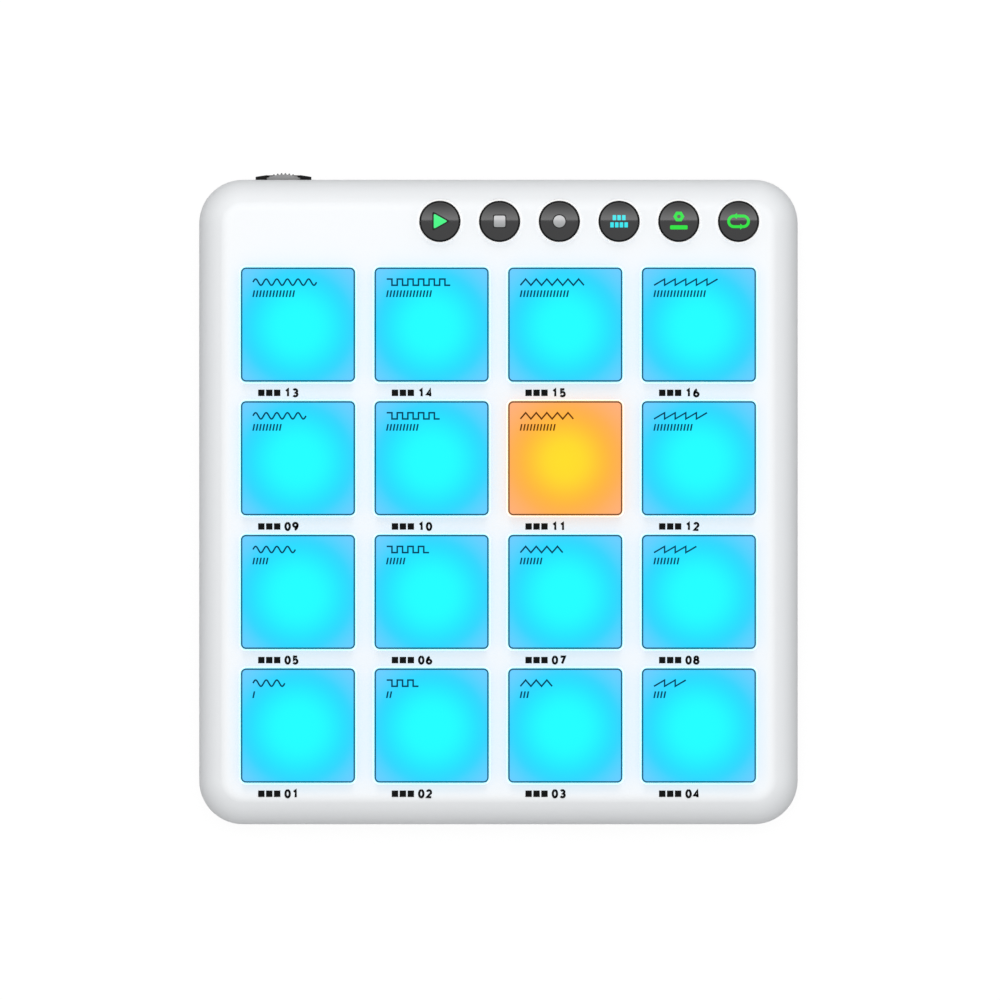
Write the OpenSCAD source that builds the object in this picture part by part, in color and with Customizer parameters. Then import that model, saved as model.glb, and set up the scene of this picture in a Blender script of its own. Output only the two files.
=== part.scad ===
// Pocket pad controller: sixteen lit pads in a four by four field, six round
// keys and a thumb dial in the rear edge. Lengths are in millimetres. The origin
// lies under the middle of the case, in the plane that the feet stand on.
// +X points to the right, +Y to the rear and +Z up.

/* [Pads] */
// Side of a pad's square window in the face
pad_window = 24.8; // [20:0.1:30]
// Width of the face strip between two windows
pad_web = 4.2; // [3.6:0.1:8]
// Corner radius of a window
window_corner = 1.1; // [0.8:0.1:4]
// Rounding of a window's upper edge
window_lip = 0.35; // [0.2:0.05:0.5]
// Gap all round between a pad and its window
pad_gap = 0.35; // [0.2:0.05:0.6]
// Height of a pad above the face
pad_proud = 2.2; // [0.8:0.1:3]
// Rounding of a pad's upper edge
pad_edge = 0.6; // [0.2:0.05:0.7]
// Thickness of a pad's lit top
pad_skin = 3.1; // [2:0.1:4]
// Travel of a pad from rest to its stop
pad_travel = 1.0; // [0.5:0.1:1.5]
// Reach of a pad's flange beyond its window
flange_reach = 1.1; // [0.8:0.1:1.4]
// Thickness of a pad's flange and of the mat between the flanges
flange_t = 1.2; // [0.8:0.1:2]
// Radius of the light well inside a pad's foot
foot_bore = 6.0; // [4.5:0.1:8]
// Wall of a pad's ring foot
foot_wall = 2.0; // [1:0.1:3]
// Width of the border of the mat, the light grid and the sensor film
mat_border = 0.9; // [0.6:0.1:1.1]

/* [Case] */
// Face left between the pad field and the sides and front
side_margin = 9.1; // [8.8:0.1:16]
// Face left between the pad field and the rear edge
rear_deck = 19.1; // [18:0.1:40]
// Corner radius of the case in plan
corner_radius = 9.5; // [8:0.1:16]
// Radius of the wide arc on which the walls lean in towards the face
side_radius = 12.2; // [9:0.1:13]
// Radius of the brow between that arc and the face
brow_radius = 3.2; // [2.8:0.1:4]
// Radius of the lower edge
base_radius = 2.4; // [0.8:0.1:3]
// Wall of the top shell
wall = 2.2; // [1.6:0.1:2.6]
// Depth of the frame that thickens the face round the windows
frame_t = 1.2; // [0.8:0.1:2]
// Height of the base from its underside to the parting line
base_height = 4.0; // [3.4:0.1:4.6]
// Thickness of the base's floor
floor_t = 2.0; // [1.4:0.1:2.6]
// Height of the rim lip above the parting line
lip_height = 1.2; // [0.8:0.1:1.6]
// Thickness of the rim lip
lip_t = 1.0; // [0.8:0.1:1.4]
// Height and depth of the shadow gap along the parting line
seam_gap = 0.35; // [0.2:0.05:0.6]

/* [Keys] */
// Diameter of a key's hole
key_hole = 9.0; // [7:0.1:10]
// Gap all round between a key and its hole
key_gap = 0.25; // [0.15:0.05:0.4]
// Distance between two keys
key_pitch = 12.96; // [12.4:0.01:16]
// Distance of the last key from the right side
key_side = 12.9; // [12:0.1:20]
// Distance of the row of keys from the rear edge
key_rear = 9.1; // [8.4:0.1:11]
// Height of a key above the face
key_proud = 1.5; // [0.6:0.1:2]
// Radius of the crown on a key
key_crown = 26; // [16:1:60]
// Travel of a key from rest to its stop
key_travel = 0.4; // [0.2:0.05:0.6]
// Depth of the collar that guides a key under the ceiling
key_collar = 0.8; // [0.4:0.1:1.2]
// Reach of a key's flange beyond its hole
key_flange_reach = 0.7; // [0.5:0.1:0.9]
// Thickness of a key's flange
key_flange_t = 0.8; // [0.6:0.1:1.2]
// Width of the raised ring round a key's hole
ring_w = 0.35; // [0.3:0.05:0.8]
// Height of that ring above the face
ring_proud = 0.3; // [0.1:0.05:0.5]
// Side of a switch body
switch_side = 6.0; // [5:0.1:7]
// Height of a switch body
switch_h = 3.1; // [2.5:0.1:3.6]
// Radius of a switch plunger
plunger_r = 1.7; // [1.2:0.1:2]

/* [Dial] */
// Radius of the wheel over its teeth
dial_r = 9.0; // [7:0.1:11]
// Thickness of the wheel
dial_t = 3.4; // [2:0.1:3.6]
// How far the wheel stands out of the rear wall
dial_proud = 1.46; // [0.8:0.01:2]
// Distance of the wheel's axle from the left side
dial_side = 18.3; // [17:0.1:40]
// Teeth round the wheel
dial_teeth = 66; // [40:1:90]
// Depth of a tooth
tooth_depth = 0.3; // [0.1:0.05:0.5]
// Share of the tooth pitch that a tooth takes at its tip
tooth_tip = 0.24; // [0.1:0.02:0.4]
// Share of the tooth pitch that a tooth takes at its root
tooth_root = 0.6; // [0.5:0.02:0.9]
// Chamfer on both edges of the toothed rim
rim_chamfer = 0.35; // [0.1:0.05:0.5]
// Wall of the wheel's rim
rim_wall = 1.8; // [1:0.1:3]
// Thickness of the wheel's web
web_t = 1.4; // [1:0.1:2]
// Radius of the wheel's hub
hub_r = 3.2; // [2.8:0.1:4]
// Radius of the axle post
post_r = 1.7; // [1.2:0.1:2]
// Thickness of the encoder's base
encoder_t = 0.5; // [0.4:0.05:1]
// Radius of the encoder's base
encoder_r = 4.0; // [3:0.1:4.2]
// Half width of the bezel in the rear wall
bezel_half = 6.05; // [5:0.05:8]
// Rail of the bezel above the wheel
bezel_rail = 0.6; // [0.4:0.1:1]
// Height of a cheek at its outer end
cheek_low = 0.65; // [0.2:0.01:0.8]
// Height of a cheek beside the wheel
cheek_high = 1.02; // [0.6:0.01:1.3]
// Reach of the bezel's flange behind the wall
bezel_flange = 0.9; // [0.6:0.1:1.4]
// Thickness of that flange
bezel_flange_t = 1.0; // [0.6:0.1:1.2]

/* [Board and lights] */
// Thickness of the circuit board
board_t = 1.6; // [1:0.1:2]
// Air between the battery and the board
board_air = 1.7; // [1.2:0.1:3]
// Gap between the board and the side walls
board_gap = 0.8; // [0.4:0.1:1.2]
// Gap between the board's rear edge and the rear wall
board_rear_gap = 1.6; // [1.3:0.1:2]
// Thickness of the sensor film
film_t = 0.3; // [0.2:0.05:0.5]
// Height of the light grid
grid_height = 3.5; // [3:0.1:5]
// Side of a pad light
led_side = 5.0; // [3:0.1:5.5]
// Height of a pad light
led_h = 1.5; // [0.8:0.1:1.8]
// Length, width and height of a key light
key_led = [2.0, 1.25, 0.8];
// Distance of a key light from its key's axis
key_led_offset = 4.4; // [4:0.1:5]
// Length, width and height of the controller chip
chip = [7, 7, 0.9];
// Place of the controller chip on the board
chip_at = [20, 24];
// Length, width and height of the wireless module's carrier
radio_card = [12, 18, 0.8];
// Length, width and height of its shield can
radio_can = [10, 12, 1.6];
// Place of the wireless module on the board
radio_at = [46, -30];

/* [Battery] */
// Length, width and height of the battery pack
battery_size = [60, 40, 5];
// Corner radius of the battery pack
battery_corner = 2.0; // [1.4:0.1:4]
// Place of the battery pack on the floor
battery_at = [0, -15];
// Thickness of the tape under the battery
tape_t = 0.3; // [0.1:0.05:0.6]
// Rounding of the battery pack's edges
battery_edge = 1.0; // [0.5:0.1:1.2]
// Width of the battery connector
plug_w = 6.0; // [5:0.1:8]
// Length of the battery connector
plug_d = 4.5; // [4:0.1:8]
// Wall of the battery connector under its wires
plug_wall = 0.6; // [0.4:0.1:1]
// Straight length at each end of the lead
lead_end = 2.5; // [1:0.5:6]
// Middle radius of the lead's bends
lead_bend = 4.0; // [3:0.1:6]
// Distance of the lead from the battery's left end
lead_side = 10; // [6:0.5:30]
// Radius of one wire of the lead
wire_r = 0.6; // [0.4:0.05:0.8]
// Distance between the two wires
wire_pitch = 2.0; // [1.8:0.1:3]

/* [Socket] */
// Width of the socket's metal shell
usb_w = 8.94; // [8.8:0.01:9.2]
// Height of the socket's metal shell
usb_h = 3.26; // [3.1:0.01:3.4]
// Length of the socket's metal shell
usb_len = 7.35; // [6.5:0.05:9]
// Corner radius of the metal shell
usb_corner = 1.3; // [0.8:0.05:1.5]
// Sheet thickness of the metal shell
usb_sheet = 0.3; // [0.2:0.05:0.4]
// How far the socket's mouth lies behind the rear wall's face
usb_recess = 0.4; // [0:0.1:1]
// Distance of the socket from the middle of the case
usb_x = 0; // [-10:0.5:20]
// Width of the socket's tongue
tongue_w = 6.69; // [6:0.01:7]
// Thickness of the socket's tongue
tongue_t = 0.7; // [0.5:0.05:0.9]
// Length of the block that carries the tongue
tongue_block = 1.6; // [1:0.1:2.5]
// Distance of the tongue's tip behind the mouth
tongue_back = 1.3; // [0.8:0.1:2]

/* [Screws and feet] */
// Radius of a case screw's thread
screw_r = 1.0; // [0.8:0.05:1.25]
// Length of a case screw under its head
screw_len = 12; // [10:0.5:13]
// Radius of a case screw's head
head_r = 1.75; // [1.5:0.05:2]
// Height of a case screw's head
head_h = 1.3; // [1:0.1:1.6]
// Height of the head's seat above the base's underside
head_seat = 3.0; // [2.4:0.1:3.6]
// Distance of the screws from the sides
screw_side = 4.5; // [4.4:0.1:5]
// Distance of the rear screws from the rear edge
screw_rear = 11; // [9:0.5:16]
// Distance of the front screws from the front edge
screw_front = 18; // [12:0.5:30]
// Radius of the posts and bosses round the screws
boss_r = 2.0; // [1.7:0.1:2.2]
// Wall round the recess of a screw head
well_wall = 1.05; // [0.8:0.05:1.6]
// Roof over the recess of a screw head
well_roof = 1.4; // [1:0.1:2]
// Radius of a rubber foot
rubber_r = 6.0; // [4:0.1:9]
// Height of a rubber foot under the base
foot_proud = 1.0; // [0.6:0.1:2]
// Depth of the recess that a rubber foot is set in
foot_sink = 0.5; // [0.3:0.1:1]
// Rounding of a rubber foot's edge
rubber_edge = 0.5; // [0.2:0.1:0.6]
// Distance of the feet from the sides, front and rear
foot_inset = 17; // [14:0.5:30]
// Radius of the retaining screw of the wheel, and of its head
dial_screw = [0.7, 2.5];
// Head height of the retaining screw
dial_head_h = 0.9; // [0.6:0.1:1.2]
// Thread length of the retaining screw
dial_screw_len = 3.0; // [2:0.1:3.4]

/* [Fits] */
// Gap between the lip and the top shell's wall
lip_gap = 0.15; // [0.1:0.05:0.3]
// Gap between a moving flange and what stands round it
slide_gap = 0.3; // [0.2:0.05:0.4]
// Gap left under a foot or plunger at the end of its travel
stop_gap = 0.1; // [0.05:0.05:0.3]
// Gap round a shaft that turns or slides
run_gap = 0.05; // [0.03:0.01:0.1]
// Gap at each face of the wheel's hub
hub_play = 0.1; // [0.05:0.05:0.2]
// Gap round the wheel in its bezel
wheel_gap = 0.3; // [0.2:0.05:0.5]
// Gap round a fixed insert such as the bezel or a rubber foot
insert_gap = 0.1; // [0.05:0.05:0.2]
// Gap between a pad light's corners and its hole in the film
led_gap = 0.5; // [0.2:0.1:0.8]
// Gap round the socket in its opening
socket_gap = 0.2; // [0.1:0.05:0.4]
// Gap round a screw's thread in a post
screw_gap = 0.1; // [0.05:0.05:0.2]
// Gap round a screw's thread in the boss that it is driven into
thread_gap = 0.03; // [0.02:0.01:0.05]
// Gap round a screw's head in its recess
head_gap = 0.2; // [0.1:0.05:0.3]

/* [Hidden] */
$fn = 64;
pads_across = 4;
pads_deep = 4;
pad_count = pads_across * pads_deep;
key_names = ["play", "stop", "record", "bank", "shift", "repeat"];
keys = len(key_names);
lit_pad = 11;
// How far a cutter runs past the face that it opens
over = 1;
// Sine and cosine of the slope at which the wall's arc meets the brow
brow_slope = [0.6, 0.8];
// Least bend or straight length left beside a rounded edge
least_bend = 0.5;

// Plan of the case
pitch = pad_window + pad_web;
field_w = pads_across * pitch - pad_web;
field_d = pads_deep * pitch - pad_web;
field_y = (side_margin - rear_deck) / 2;
body_w = field_w + 2 * side_margin;
body_d = field_d + side_margin + rear_deck;
rear_y = body_d / 2;
base_roll = min(base_radius, base_height - seam_gap - least_bend);

// Heights from the table up
base_z = foot_proud;
parting_z = base_z + base_height;
floor_z = base_z + floor_t;
battery_z = floor_z + tape_t;
board_z = battery_z + battery_size[2] + board_air;
board_top = board_z + board_t;
film_top = board_top + film_t;
grid_top = film_top + grid_height;
seat_z = grid_top + flange_t;
ceiling_z = seat_z + frame_t;
face_z = ceiling_z + wall;
pad_top = face_z + pad_proud;
key_top = face_z + key_proud;
key_seat_z = ceiling_z - key_collar;
// Height at which the walls start to lean in
lean_z = face_z - brow_radius - brow_slope[1] * (side_radius - brow_radius);

// Pads, mat and grid
pad_side = pad_window - 2 * pad_gap;
pad_corner = max(window_corner - pad_gap, pad_edge + least_bend / 4);
flange_side = pad_window + 2 * flange_reach;
cell_side = flange_side + 2 * slide_gap;
mat_w = field_w + 2 * (flange_reach + slide_gap + mat_border);
mat_d = field_d + 2 * (flange_reach + slide_gap + mat_border);
pad_foot_z = film_top + pad_travel + stop_gap;
led_hole = led_side / sqrt(2) + led_gap;

// Keys
key_r = key_hole / 2 - key_gap;
key_flange_r = key_hole / 2 + key_flange_reach;
key_first = body_w / 2 - key_side - (keys - 1) * key_pitch;
key_y = rear_y - key_rear;
switch_top = board_top + switch_h;
plunger_z = board_top + switch_h / 2;
key_flange_z = key_seat_z - key_flange_t;

// Dial
dial_x = dial_side - body_w / 2;
dial_y = rear_y + dial_proud - dial_r;
wheel_top = board_z - encoder_t - hub_play;
wheel_z = wheel_top - dial_t;
post_z = wheel_z - hub_play;
bezel_top = wheel_top + wheel_gap + bezel_rail;
slot_z = wheel_z - wheel_gap;

// Rear socket
usb_mid_z = board_z - usb_h / 2;
usb_mouth = rear_y - usb_recess;

// Screws and feet
screw_x = body_w / 2 - screw_side;
screw_y0 = screw_front - rear_y;
screw_y1 = rear_y - screw_rear;
screw_spots = [for (x = [-screw_x, screw_x], k = [0, 0.5, 1])
    [x, screw_y0 + k * (screw_y1 - screw_y0)]];
seat_of_head = base_z + head_seat;
screw_tip = seat_of_head + screw_len;
feet_spots = [for (x = [-1, 1], y = [-1, 1])
    [x * (body_w / 2 - foot_inset), y * (body_d / 2 - foot_inset)]];

// Battery lead and connector
lead_x = battery_at[0] - battery_size[0] / 2 + lead_side;
lead_y = battery_at[1] + battery_size[1] / 2;
lead_z = battery_z + battery_size[2] - battery_edge - wire_r;
lead_run = 2 * (lead_end + lead_bend);
plug_h = board_z - lead_z + wire_r + plug_wall;

// Board
board_w = body_w - 2 * (wall + board_gap);
board_front = wall + board_gap - rear_y;
board_rear = rear_y - wall - board_rear_gap;
board_corner = corner_radius - wall - board_gap;

white = [0.94, 0.95, 0.96];
smoke = [0.2, 0.2, 0.2];
cyan = [0.16, 0.85, 1.0];
amber = [1.0, 0.72, 0.25];
steel = [0.75, 0.76, 0.78];
leaf = [0.05, 0.3, 0.18];

// Middle of pad n, counted from the front left, row by row
function pad_at(n) = [
    ((n - 1) % pads_across - (pads_across - 1) / 2) * pitch,
    field_y + (floor((n - 1) / pads_across) - (pads_deep - 1) / 2) * pitch];

// Middle of key k, counted from the left
function key_at(k) = [key_first + k * key_pitch, key_y];

// Quarter of a disc, in the first quadrant
module quarter_disc(r) {
    intersection() {
        circle(r);
        square(r);
    }
}

// Half section of a slab's edge: x runs outwards to reach, y runs up from low to high
module edge_profile(reach, low, high, low_r, high_r) {
    translate([0, low + low_r])
        square([reach, high - low - low_r - high_r]);
    if (high_r > 0) {
        translate([0, high - high_r])
            square([reach - high_r, high_r]);
        translate([reach - high_r, high - high_r])
            quarter_disc(high_r);
    }
    if (low_r > 0) {
        translate([0, low])
            square([reach - low_r, low_r]);
        translate([reach - low_r, low + low_r])
            mirror([0, 1])
                quarter_disc(low_r);
    }
}

// Half section of an opening whose upper edge is rounded outwards by lip
module lip_profile(reach, low, high, lip) {
    translate([0, low])
        square([reach, high + over - low]);
    difference() {
        translate([reach, high - lip])
            square([lip, lip + over]);
        translate([reach + lip, high - lip])
            circle(lip);
    }
}

// Half section of the top housing, drawn inset from the outside: the upright wall, the wide
// arc above it, and the brow that turns the arc into the face
module shoulder_profile(inset, low) {
    reach = corner_radius - inset;
    top = face_z - inset;
    side_r = side_radius - inset;
    brow_r = brow_radius - inset;
    arc_x = corner_radius - side_radius;
    brow_x = arc_x + brow_slope[0] * (side_radius - brow_radius);
    turn_z = lean_z + brow_slope[1] * side_r;
    translate([0, low])
        square([reach, lean_z - low]);
    translate([0, lean_z])
        square([brow_x, top - lean_z]);
    intersection() {
        translate([arc_x, lean_z])
            circle(side_r);
        translate([0, lean_z])
            square([reach, turn_z - lean_z]);
    }
    intersection() {
        translate([brow_x, top - brow_r])
            circle(brow_r);
        translate([brow_x, turn_z])
            square([brow_r, top - turn_z]);
    }
}

// Slab with round corners in plan, its edge swept from the half section that is handed in
module swept_slab(w, d, corner, low, high) {
    x = w / 2 - corner;
    y = d / 2 - corner;
    translate([-x, -y, low])
        cube([2 * x, 2 * y, high - low]);
    for (turn = [0, 180]) {
        rotate(turn)
            translate([x, y, 0])
                rotate([90, 0, 0])
                    linear_extrude(2 * y)
                        children();
        rotate(turn + 90)
            translate([y, x, 0])
                rotate([90, 0, 0])
                    linear_extrude(2 * x)
                        children();
    }
    for (quarter = [[1, 1, 0], [-1, 1, 90], [-1, -1, 180], [1, -1, 270]])
        translate([quarter[0] * x, quarter[1] * y, 0])
            rotate(quarter[2])
                rotate_extrude(angle = 90)
                    children();
}

// Slab with rounded lower and upper edges
module rolled_slab(w, d, corner, low, high, low_r, high_r) {
    swept_slab(w, d, corner, low, high)
        edge_profile(corner, low, high, low_r, high_r);
}

// Outside of the top housing, or a shape inset from it
module shoulder_slab(inset, low) {
    swept_slab(body_w - 2 * inset, body_d - 2 * inset, corner_radius - inset, low, face_z - inset)
        shoulder_profile(inset, low);
}

// Flat outline with four round corners
module rounded_outline(w, d, r) {
    square([w, d - 2 * r], center = true);
    for (side = [-1, 1])
        translate([0, side * (d - r) / 2])
            square([w - 2 * r, r], center = true);
    for (x = [0, 1], y = [0, 1])
        mirror([x, 0])
            mirror([0, y])
                translate([w / 2 - r, d / 2 - r])
                    quarter_disc(r);
}

// Upright prism of that outline
module rounded_prism(w, d, r, low, high) {
    translate([0, 0, low])
        linear_extrude(high - low)
            rounded_outline(w, d, r);
}

// Upright round bar
module bar(r, low, high) {
    translate([0, 0, low])
        cylinder(r = r, h = high - low);
}

module over_field() {
    translate([0, field_y, 0])
        children();
}

module at_each_pad() {
    for (n = [1 : pad_count])
        translate(pad_at(n))
            children();
}

module at_each_key() {
    for (k = [0 : keys - 1])
        translate(key_at(k))
            children();
}

module at_each_screw() {
    for (spot = screw_spots)
        translate(spot)
            children();
}

// What stands inside the top housing, all of it run up into the wall: the frame round the
// windows, the collars of the keys, and the screw bosses with a rib to the side wall
module shell_inside() {
    intersection() {
        shoulder_slab(wall / 2, parting_z);
        union() {
            over_field()
                rounded_prism(mat_w, mat_d, window_corner, seat_z, face_z);
            at_each_key()
                bar(key_flange_r, key_seat_z, face_z);
            at_each_screw()
                bar(boss_r, board_top, face_z);
            for (spot = screw_spots)
                translate([spot[0] + sign(spot[0]) * screw_side / 2, spot[1],
                        (board_top + face_z) / 2])
                    cube([screw_side, boss_r, face_z - board_top], center = true);
        }
    }
}

// Top housing before its openings are cut: a hollow shell, what stands in it, and the rings
// round the keys
module shell_body() {
    difference() {
        shoulder_slab(0, parting_z);
        shoulder_slab(wall, parting_z - over);
    }
    shell_inside();
    at_each_key()
        rotate_extrude()
            edge_profile(key_hole / 2 + ring_w, key_seat_z + key_collar / 2, face_z + ring_proud,
                0, min(ring_proud, ring_w));
}

module top_shell() {
    color(white)
        difference() {
            shell_body();
            at_each_pad()
                swept_slab(pad_window, pad_window, window_corner, seat_z - over, face_z + over)
                    lip_profile(window_corner, seat_z - over, face_z, window_lip);
            at_each_key()
                bar(key_hole / 2, board_top, key_top);
            at_each_key()
                bar(key_flange_r + slide_gap, key_flange_z - key_travel - slide_gap, key_seat_z);
            at_each_screw()
                bar(screw_r + thread_gap, board_top - over, screw_tip + slide_gap);
            bezel_notch();
            socket_opening();
        }
}

// Notch for the bezel, open at the parting line, with room behind it for the wheel
module bezel_notch() {
    half = bezel_half + insert_gap;
    translate([dial_x - half, rear_y - wall - over, parting_z - over])
        cube([2 * half, wall + 2 * over, bezel_top + insert_gap - parting_z + over]);
    wheel_room();
}

// Space that the wheel turns in
module wheel_room() {
    translate([dial_x, dial_y, slot_z])
        cylinder(r = dial_r + wheel_gap, h = dial_t + 2 * wheel_gap);
}

// Opening in the rear wall for the socket
module socket_opening() {
    translate([usb_x, rear_y - wall - over, usb_mid_z])
        rotate([-90, 0, 0])
            linear_extrude(wall + 2 * over)
                rounded_outline(usb_w + 2 * socket_gap, usb_h + 2 * socket_gap,
                    usb_corner + socket_gap);
}

// Base: floor, rim with lip, screw wells and posts, recesses for the feet
module bottom_shell() {
    inset = wall + lip_gap + lip_t;
    lip_inset = wall + lip_gap;
    color(white)
        difference() {
            union() {
                difference() {
                    union() {
                        rolled_slab(body_w, body_d, corner_radius, base_z, parting_z - seam_gap,
                            base_roll, 0);
                        rounded_prism(body_w - 2 * seam_gap, body_d - 2 * seam_gap,
                            corner_radius - seam_gap, parting_z - over, parting_z);
                        rounded_prism(body_w - 2 * lip_inset, body_d - 2 * lip_inset,
                            corner_radius - lip_inset, parting_z - over, parting_z + lip_height);
                    }
                    rounded_prism(body_w - 2 * inset, body_d - 2 * inset, corner_radius - inset,
                        floor_z, parting_z + lip_height + over);
                    lip_notches();
                }
                at_each_screw() {
                    bar(head_r + head_gap + well_wall, floor_z - floor_t / 2,
                        min(seat_of_head + well_roof, parting_z));
                    bar(boss_r, floor_z, board_z);
                }
            }
            at_each_screw() {
                bar(head_r + head_gap, base_z - over, seat_of_head);
                bar(screw_r + screw_gap, base_z, board_z + over);
            }
            for (spot = feet_spots)
                translate(spot)
                    bar(rubber_r + insert_gap, base_z - over, base_z + foot_sink);
        }
}

// Gaps in the lip for the wheel and its bezel, and for the socket
module lip_notches() {
    for (gap = [[dial_x, dial_r + slide_gap], [usb_x, usb_w / 2 + 2 * socket_gap]])
        translate([gap[0] - gap[1], rear_y - 2 * wall - lip_t, parting_z])
            cube([2 * gap[1], 2 * wall + lip_t, lip_height + over]);
}

// Grid of walls round the sixteen cells, used by the mat and by the light frame
module cell_grid(low, high) {
    difference() {
        over_field()
            rounded_prism(mat_w, mat_d, window_corner, low, high);
        at_each_pad()
            rounded_prism(cell_side, cell_side, window_corner, low - over, high + over);
    }
}

module pad_mat() {
    color("gainsboro")
        cell_grid(grid_top, seat_z);
}

module light_grid() {
    color("white")
        cell_grid(film_top, grid_top);
}

module sensor_film() {
    color("goldenrod")
        difference() {
            over_field()
                rounded_prism(mat_w, mat_d, window_corner, board_top, film_top);
            at_each_pad()
                bar(led_hole, board_top - over, film_top + over);
        }
}

module main_board() {
    color(leaf)
        difference() {
            translate([0, (board_front + board_rear) / 2, 0])
                rounded_prism(board_w, board_rear - board_front, board_corner, board_z, board_top);
            at_each_screw()
                bar(screw_r + 2 * screw_gap, board_z - over, board_top + over);
            for (spot = screw_spots)
                translate([spot[0] + sign(spot[0]) * screw_side / 2, spot[1], board_z + board_t / 2])
                    cube([screw_side, 2 * (screw_r + 2 * screw_gap), board_t + 2 * over],
                        center = true);
        }
}

// Silicone pad: square top, flange under the face, ring foot round the light well
module pad(n) {
    color(n == lit_pad ? amber : cyan)
        translate(pad_at(n))
            difference() {
                union() {
                    rolled_slab(pad_side, pad_side, pad_corner, seat_z, pad_top, 0, pad_edge);
                    rounded_prism(flange_side, flange_side, window_corner, grid_top, seat_z);
                    bar(foot_bore + foot_wall, pad_foot_z, grid_top);
                }
                bar(foot_bore, pad_foot_z - over, pad_top - pad_skin);
            }
}

// Key cap: crowned top, flange under the face
module key_cap(k) {
    color(smoke)
        translate(key_at(k)) {
            intersection() {
                bar(key_r, key_seat_z, key_top);
                translate([0, 0, key_top - key_crown])
                    sphere(key_crown, $fn = 128);
            }
            bar(key_flange_r, key_flange_z, key_seat_z);
        }
}

module key_plunger(k) {
    color("dimgray")
        translate(key_at(k))
            bar(plunger_r, plunger_z, key_flange_z);
}

// Square switch bodies, each with the bore that its plunger slides in
module tact_switches() {
    color("black")
        at_each_key()
            difference() {
                translate([-switch_side / 2, -switch_side / 2, board_top])
                    cube([switch_side, switch_side, switch_h]);
                bar(plunger_r + run_gap, plunger_z - key_travel - stop_gap, switch_top + over);
            }
}

module pad_leds() {
    color("ivory")
        at_each_pad()
            translate([-led_side / 2, -led_side / 2, board_top])
                cube([led_side, led_side, led_h]);
}

module button_leds() {
    color("ivory")
        at_each_key()
            translate([-key_led[0] / 2, -key_led_offset - key_led[1] / 2, board_top])
                cube(key_led);
}

// Outline of the toothed rim: each tooth has a flat tip and a flat root
module toothed_outline() {
    root = dial_r - tooth_depth;
    tooth = [[-tooth_root / 2, root], [-tooth_tip / 2, dial_r],
        [tooth_tip / 2, dial_r], [tooth_root / 2, root]];
    step = 360 / dial_teeth;
    polygon([for (t = [0 : dial_teeth - 1], p = tooth)
        p[1] * [cos((t + p[0]) * step), sin((t + p[0]) * step)]]);
}

// Toothed rim with a chamfer on its lower and its upper edge
module dial_rim() {
    small_r = dial_r - rim_chamfer;
    intersection() {
        linear_extrude(dial_t)
            toothed_outline();
        rotate_extrude()
            polygon([[0, 0], [small_r, 0], [dial_r, rim_chamfer], [dial_r, dial_t - rim_chamfer],
                [small_r, dial_t], [0, dial_t]]);
    }
}

// Wheel: toothed rim, thin web and a hub that turns on the axle post
module dial_wheel() {
    hollow = dial_r - tooth_depth - rim_wall;
    skin = (dial_t - web_t) / 2;
    color("gray")
        translate([dial_x, dial_y, wheel_z])
            difference() {
                dial_rim();
                for (low = [-over, dial_t - skin])
                    translate([0, 0, low])
                        difference() {
                            cylinder(r = hollow, h = skin + over);
                            translate([0, 0, -over])
                                cylinder(r = hub_r, h = skin + 3 * over);
                        }
                translate([0, 0, -over])
                    cylinder(r = post_r + run_gap, h = dial_t + 2 * over);
            }
}

// Insert in the rear wall: frame with a flange behind the wall, two raised cheeks and the tray
// that joins them under the wheel
module dial_bezel() {
    flange_top = bezel_top + bezel_flange;
    // The wall's inner side at the flange's top, where it leans in the most
    behind = rear_y - side_radius
        + sqrt(pow(side_radius - wall, 2) - pow(max(flange_top - lean_z, 0), 2)) - insert_gap;
    inner = behind - bezel_flange_t;
    cheek_x = sqrt(pow(dial_r + wheel_gap, 2) - pow(rear_y + cheek_high - dial_y, 2));
    back = rear_y - wall;
    cheek = [[bezel_half, back], [bezel_half, rear_y + cheek_low], [cheek_x, rear_y + cheek_high]];
    color("black")
        difference() {
            translate([dial_x, 0, 0])
                union() {
                    translate([-bezel_half, inner, parting_z])
                        cube([2 * bezel_half, rear_y - inner, bezel_top - parting_z]);
                    translate([-bezel_half - bezel_flange, inner, parting_z])
                        cube([2 * (bezel_half + bezel_flange), bezel_flange_t,
                            flange_top - parting_z]);
                    for (side = [0, 1])
                        mirror([side, 0, 0])
                            translate([0, 0, parting_z]) {
                                linear_extrude(bezel_top - parting_z)
                                    polygon(concat([[cheek_x, back]], cheek));
                                linear_extrude(slot_z - parting_z)
                                    polygon(concat([[0, back]], cheek, [[0, rear_y + cheek_high]]));
                            }
                }
            wheel_room();
        }
}

// Encoder: round base on the underside of the board, with the wheel's axle post
module dial_encoder() {
    color("dimgray")
        translate([dial_x, dial_y, 0])
            difference() {
                union() {
                    bar(encoder_r, board_z - encoder_t, board_z);
                    bar(post_r, post_z, board_z - encoder_t / 2);
                }
                bar(dial_screw[0] + thread_gap, post_z - over, post_z + dial_screw_len + hub_play);
            }
}

module dial_screw() {
    color(steel)
        translate([dial_x, dial_y, 0]) {
            bar(dial_screw[1], post_z - dial_head_h, post_z);
            bar(dial_screw[0], post_z - dial_head_h / 2, post_z + dial_screw_len);
        }
}

// Metal shell of the socket, open to the rear and closed at its inner end
module usb_shell() {
    color(steel)
        translate([usb_x, usb_mouth - usb_len, usb_mid_z])
            rotate([-90, 0, 0])
                difference() {
                    linear_extrude(usb_len)
                        rounded_outline(usb_w, usb_h, usb_corner);
                    translate([0, 0, usb_sheet])
                        linear_extrude(usb_len)
                            rounded_outline(usb_w - 2 * usb_sheet, usb_h - 2 * usb_sheet,
                                usb_corner - usb_sheet);
                }
}

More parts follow.
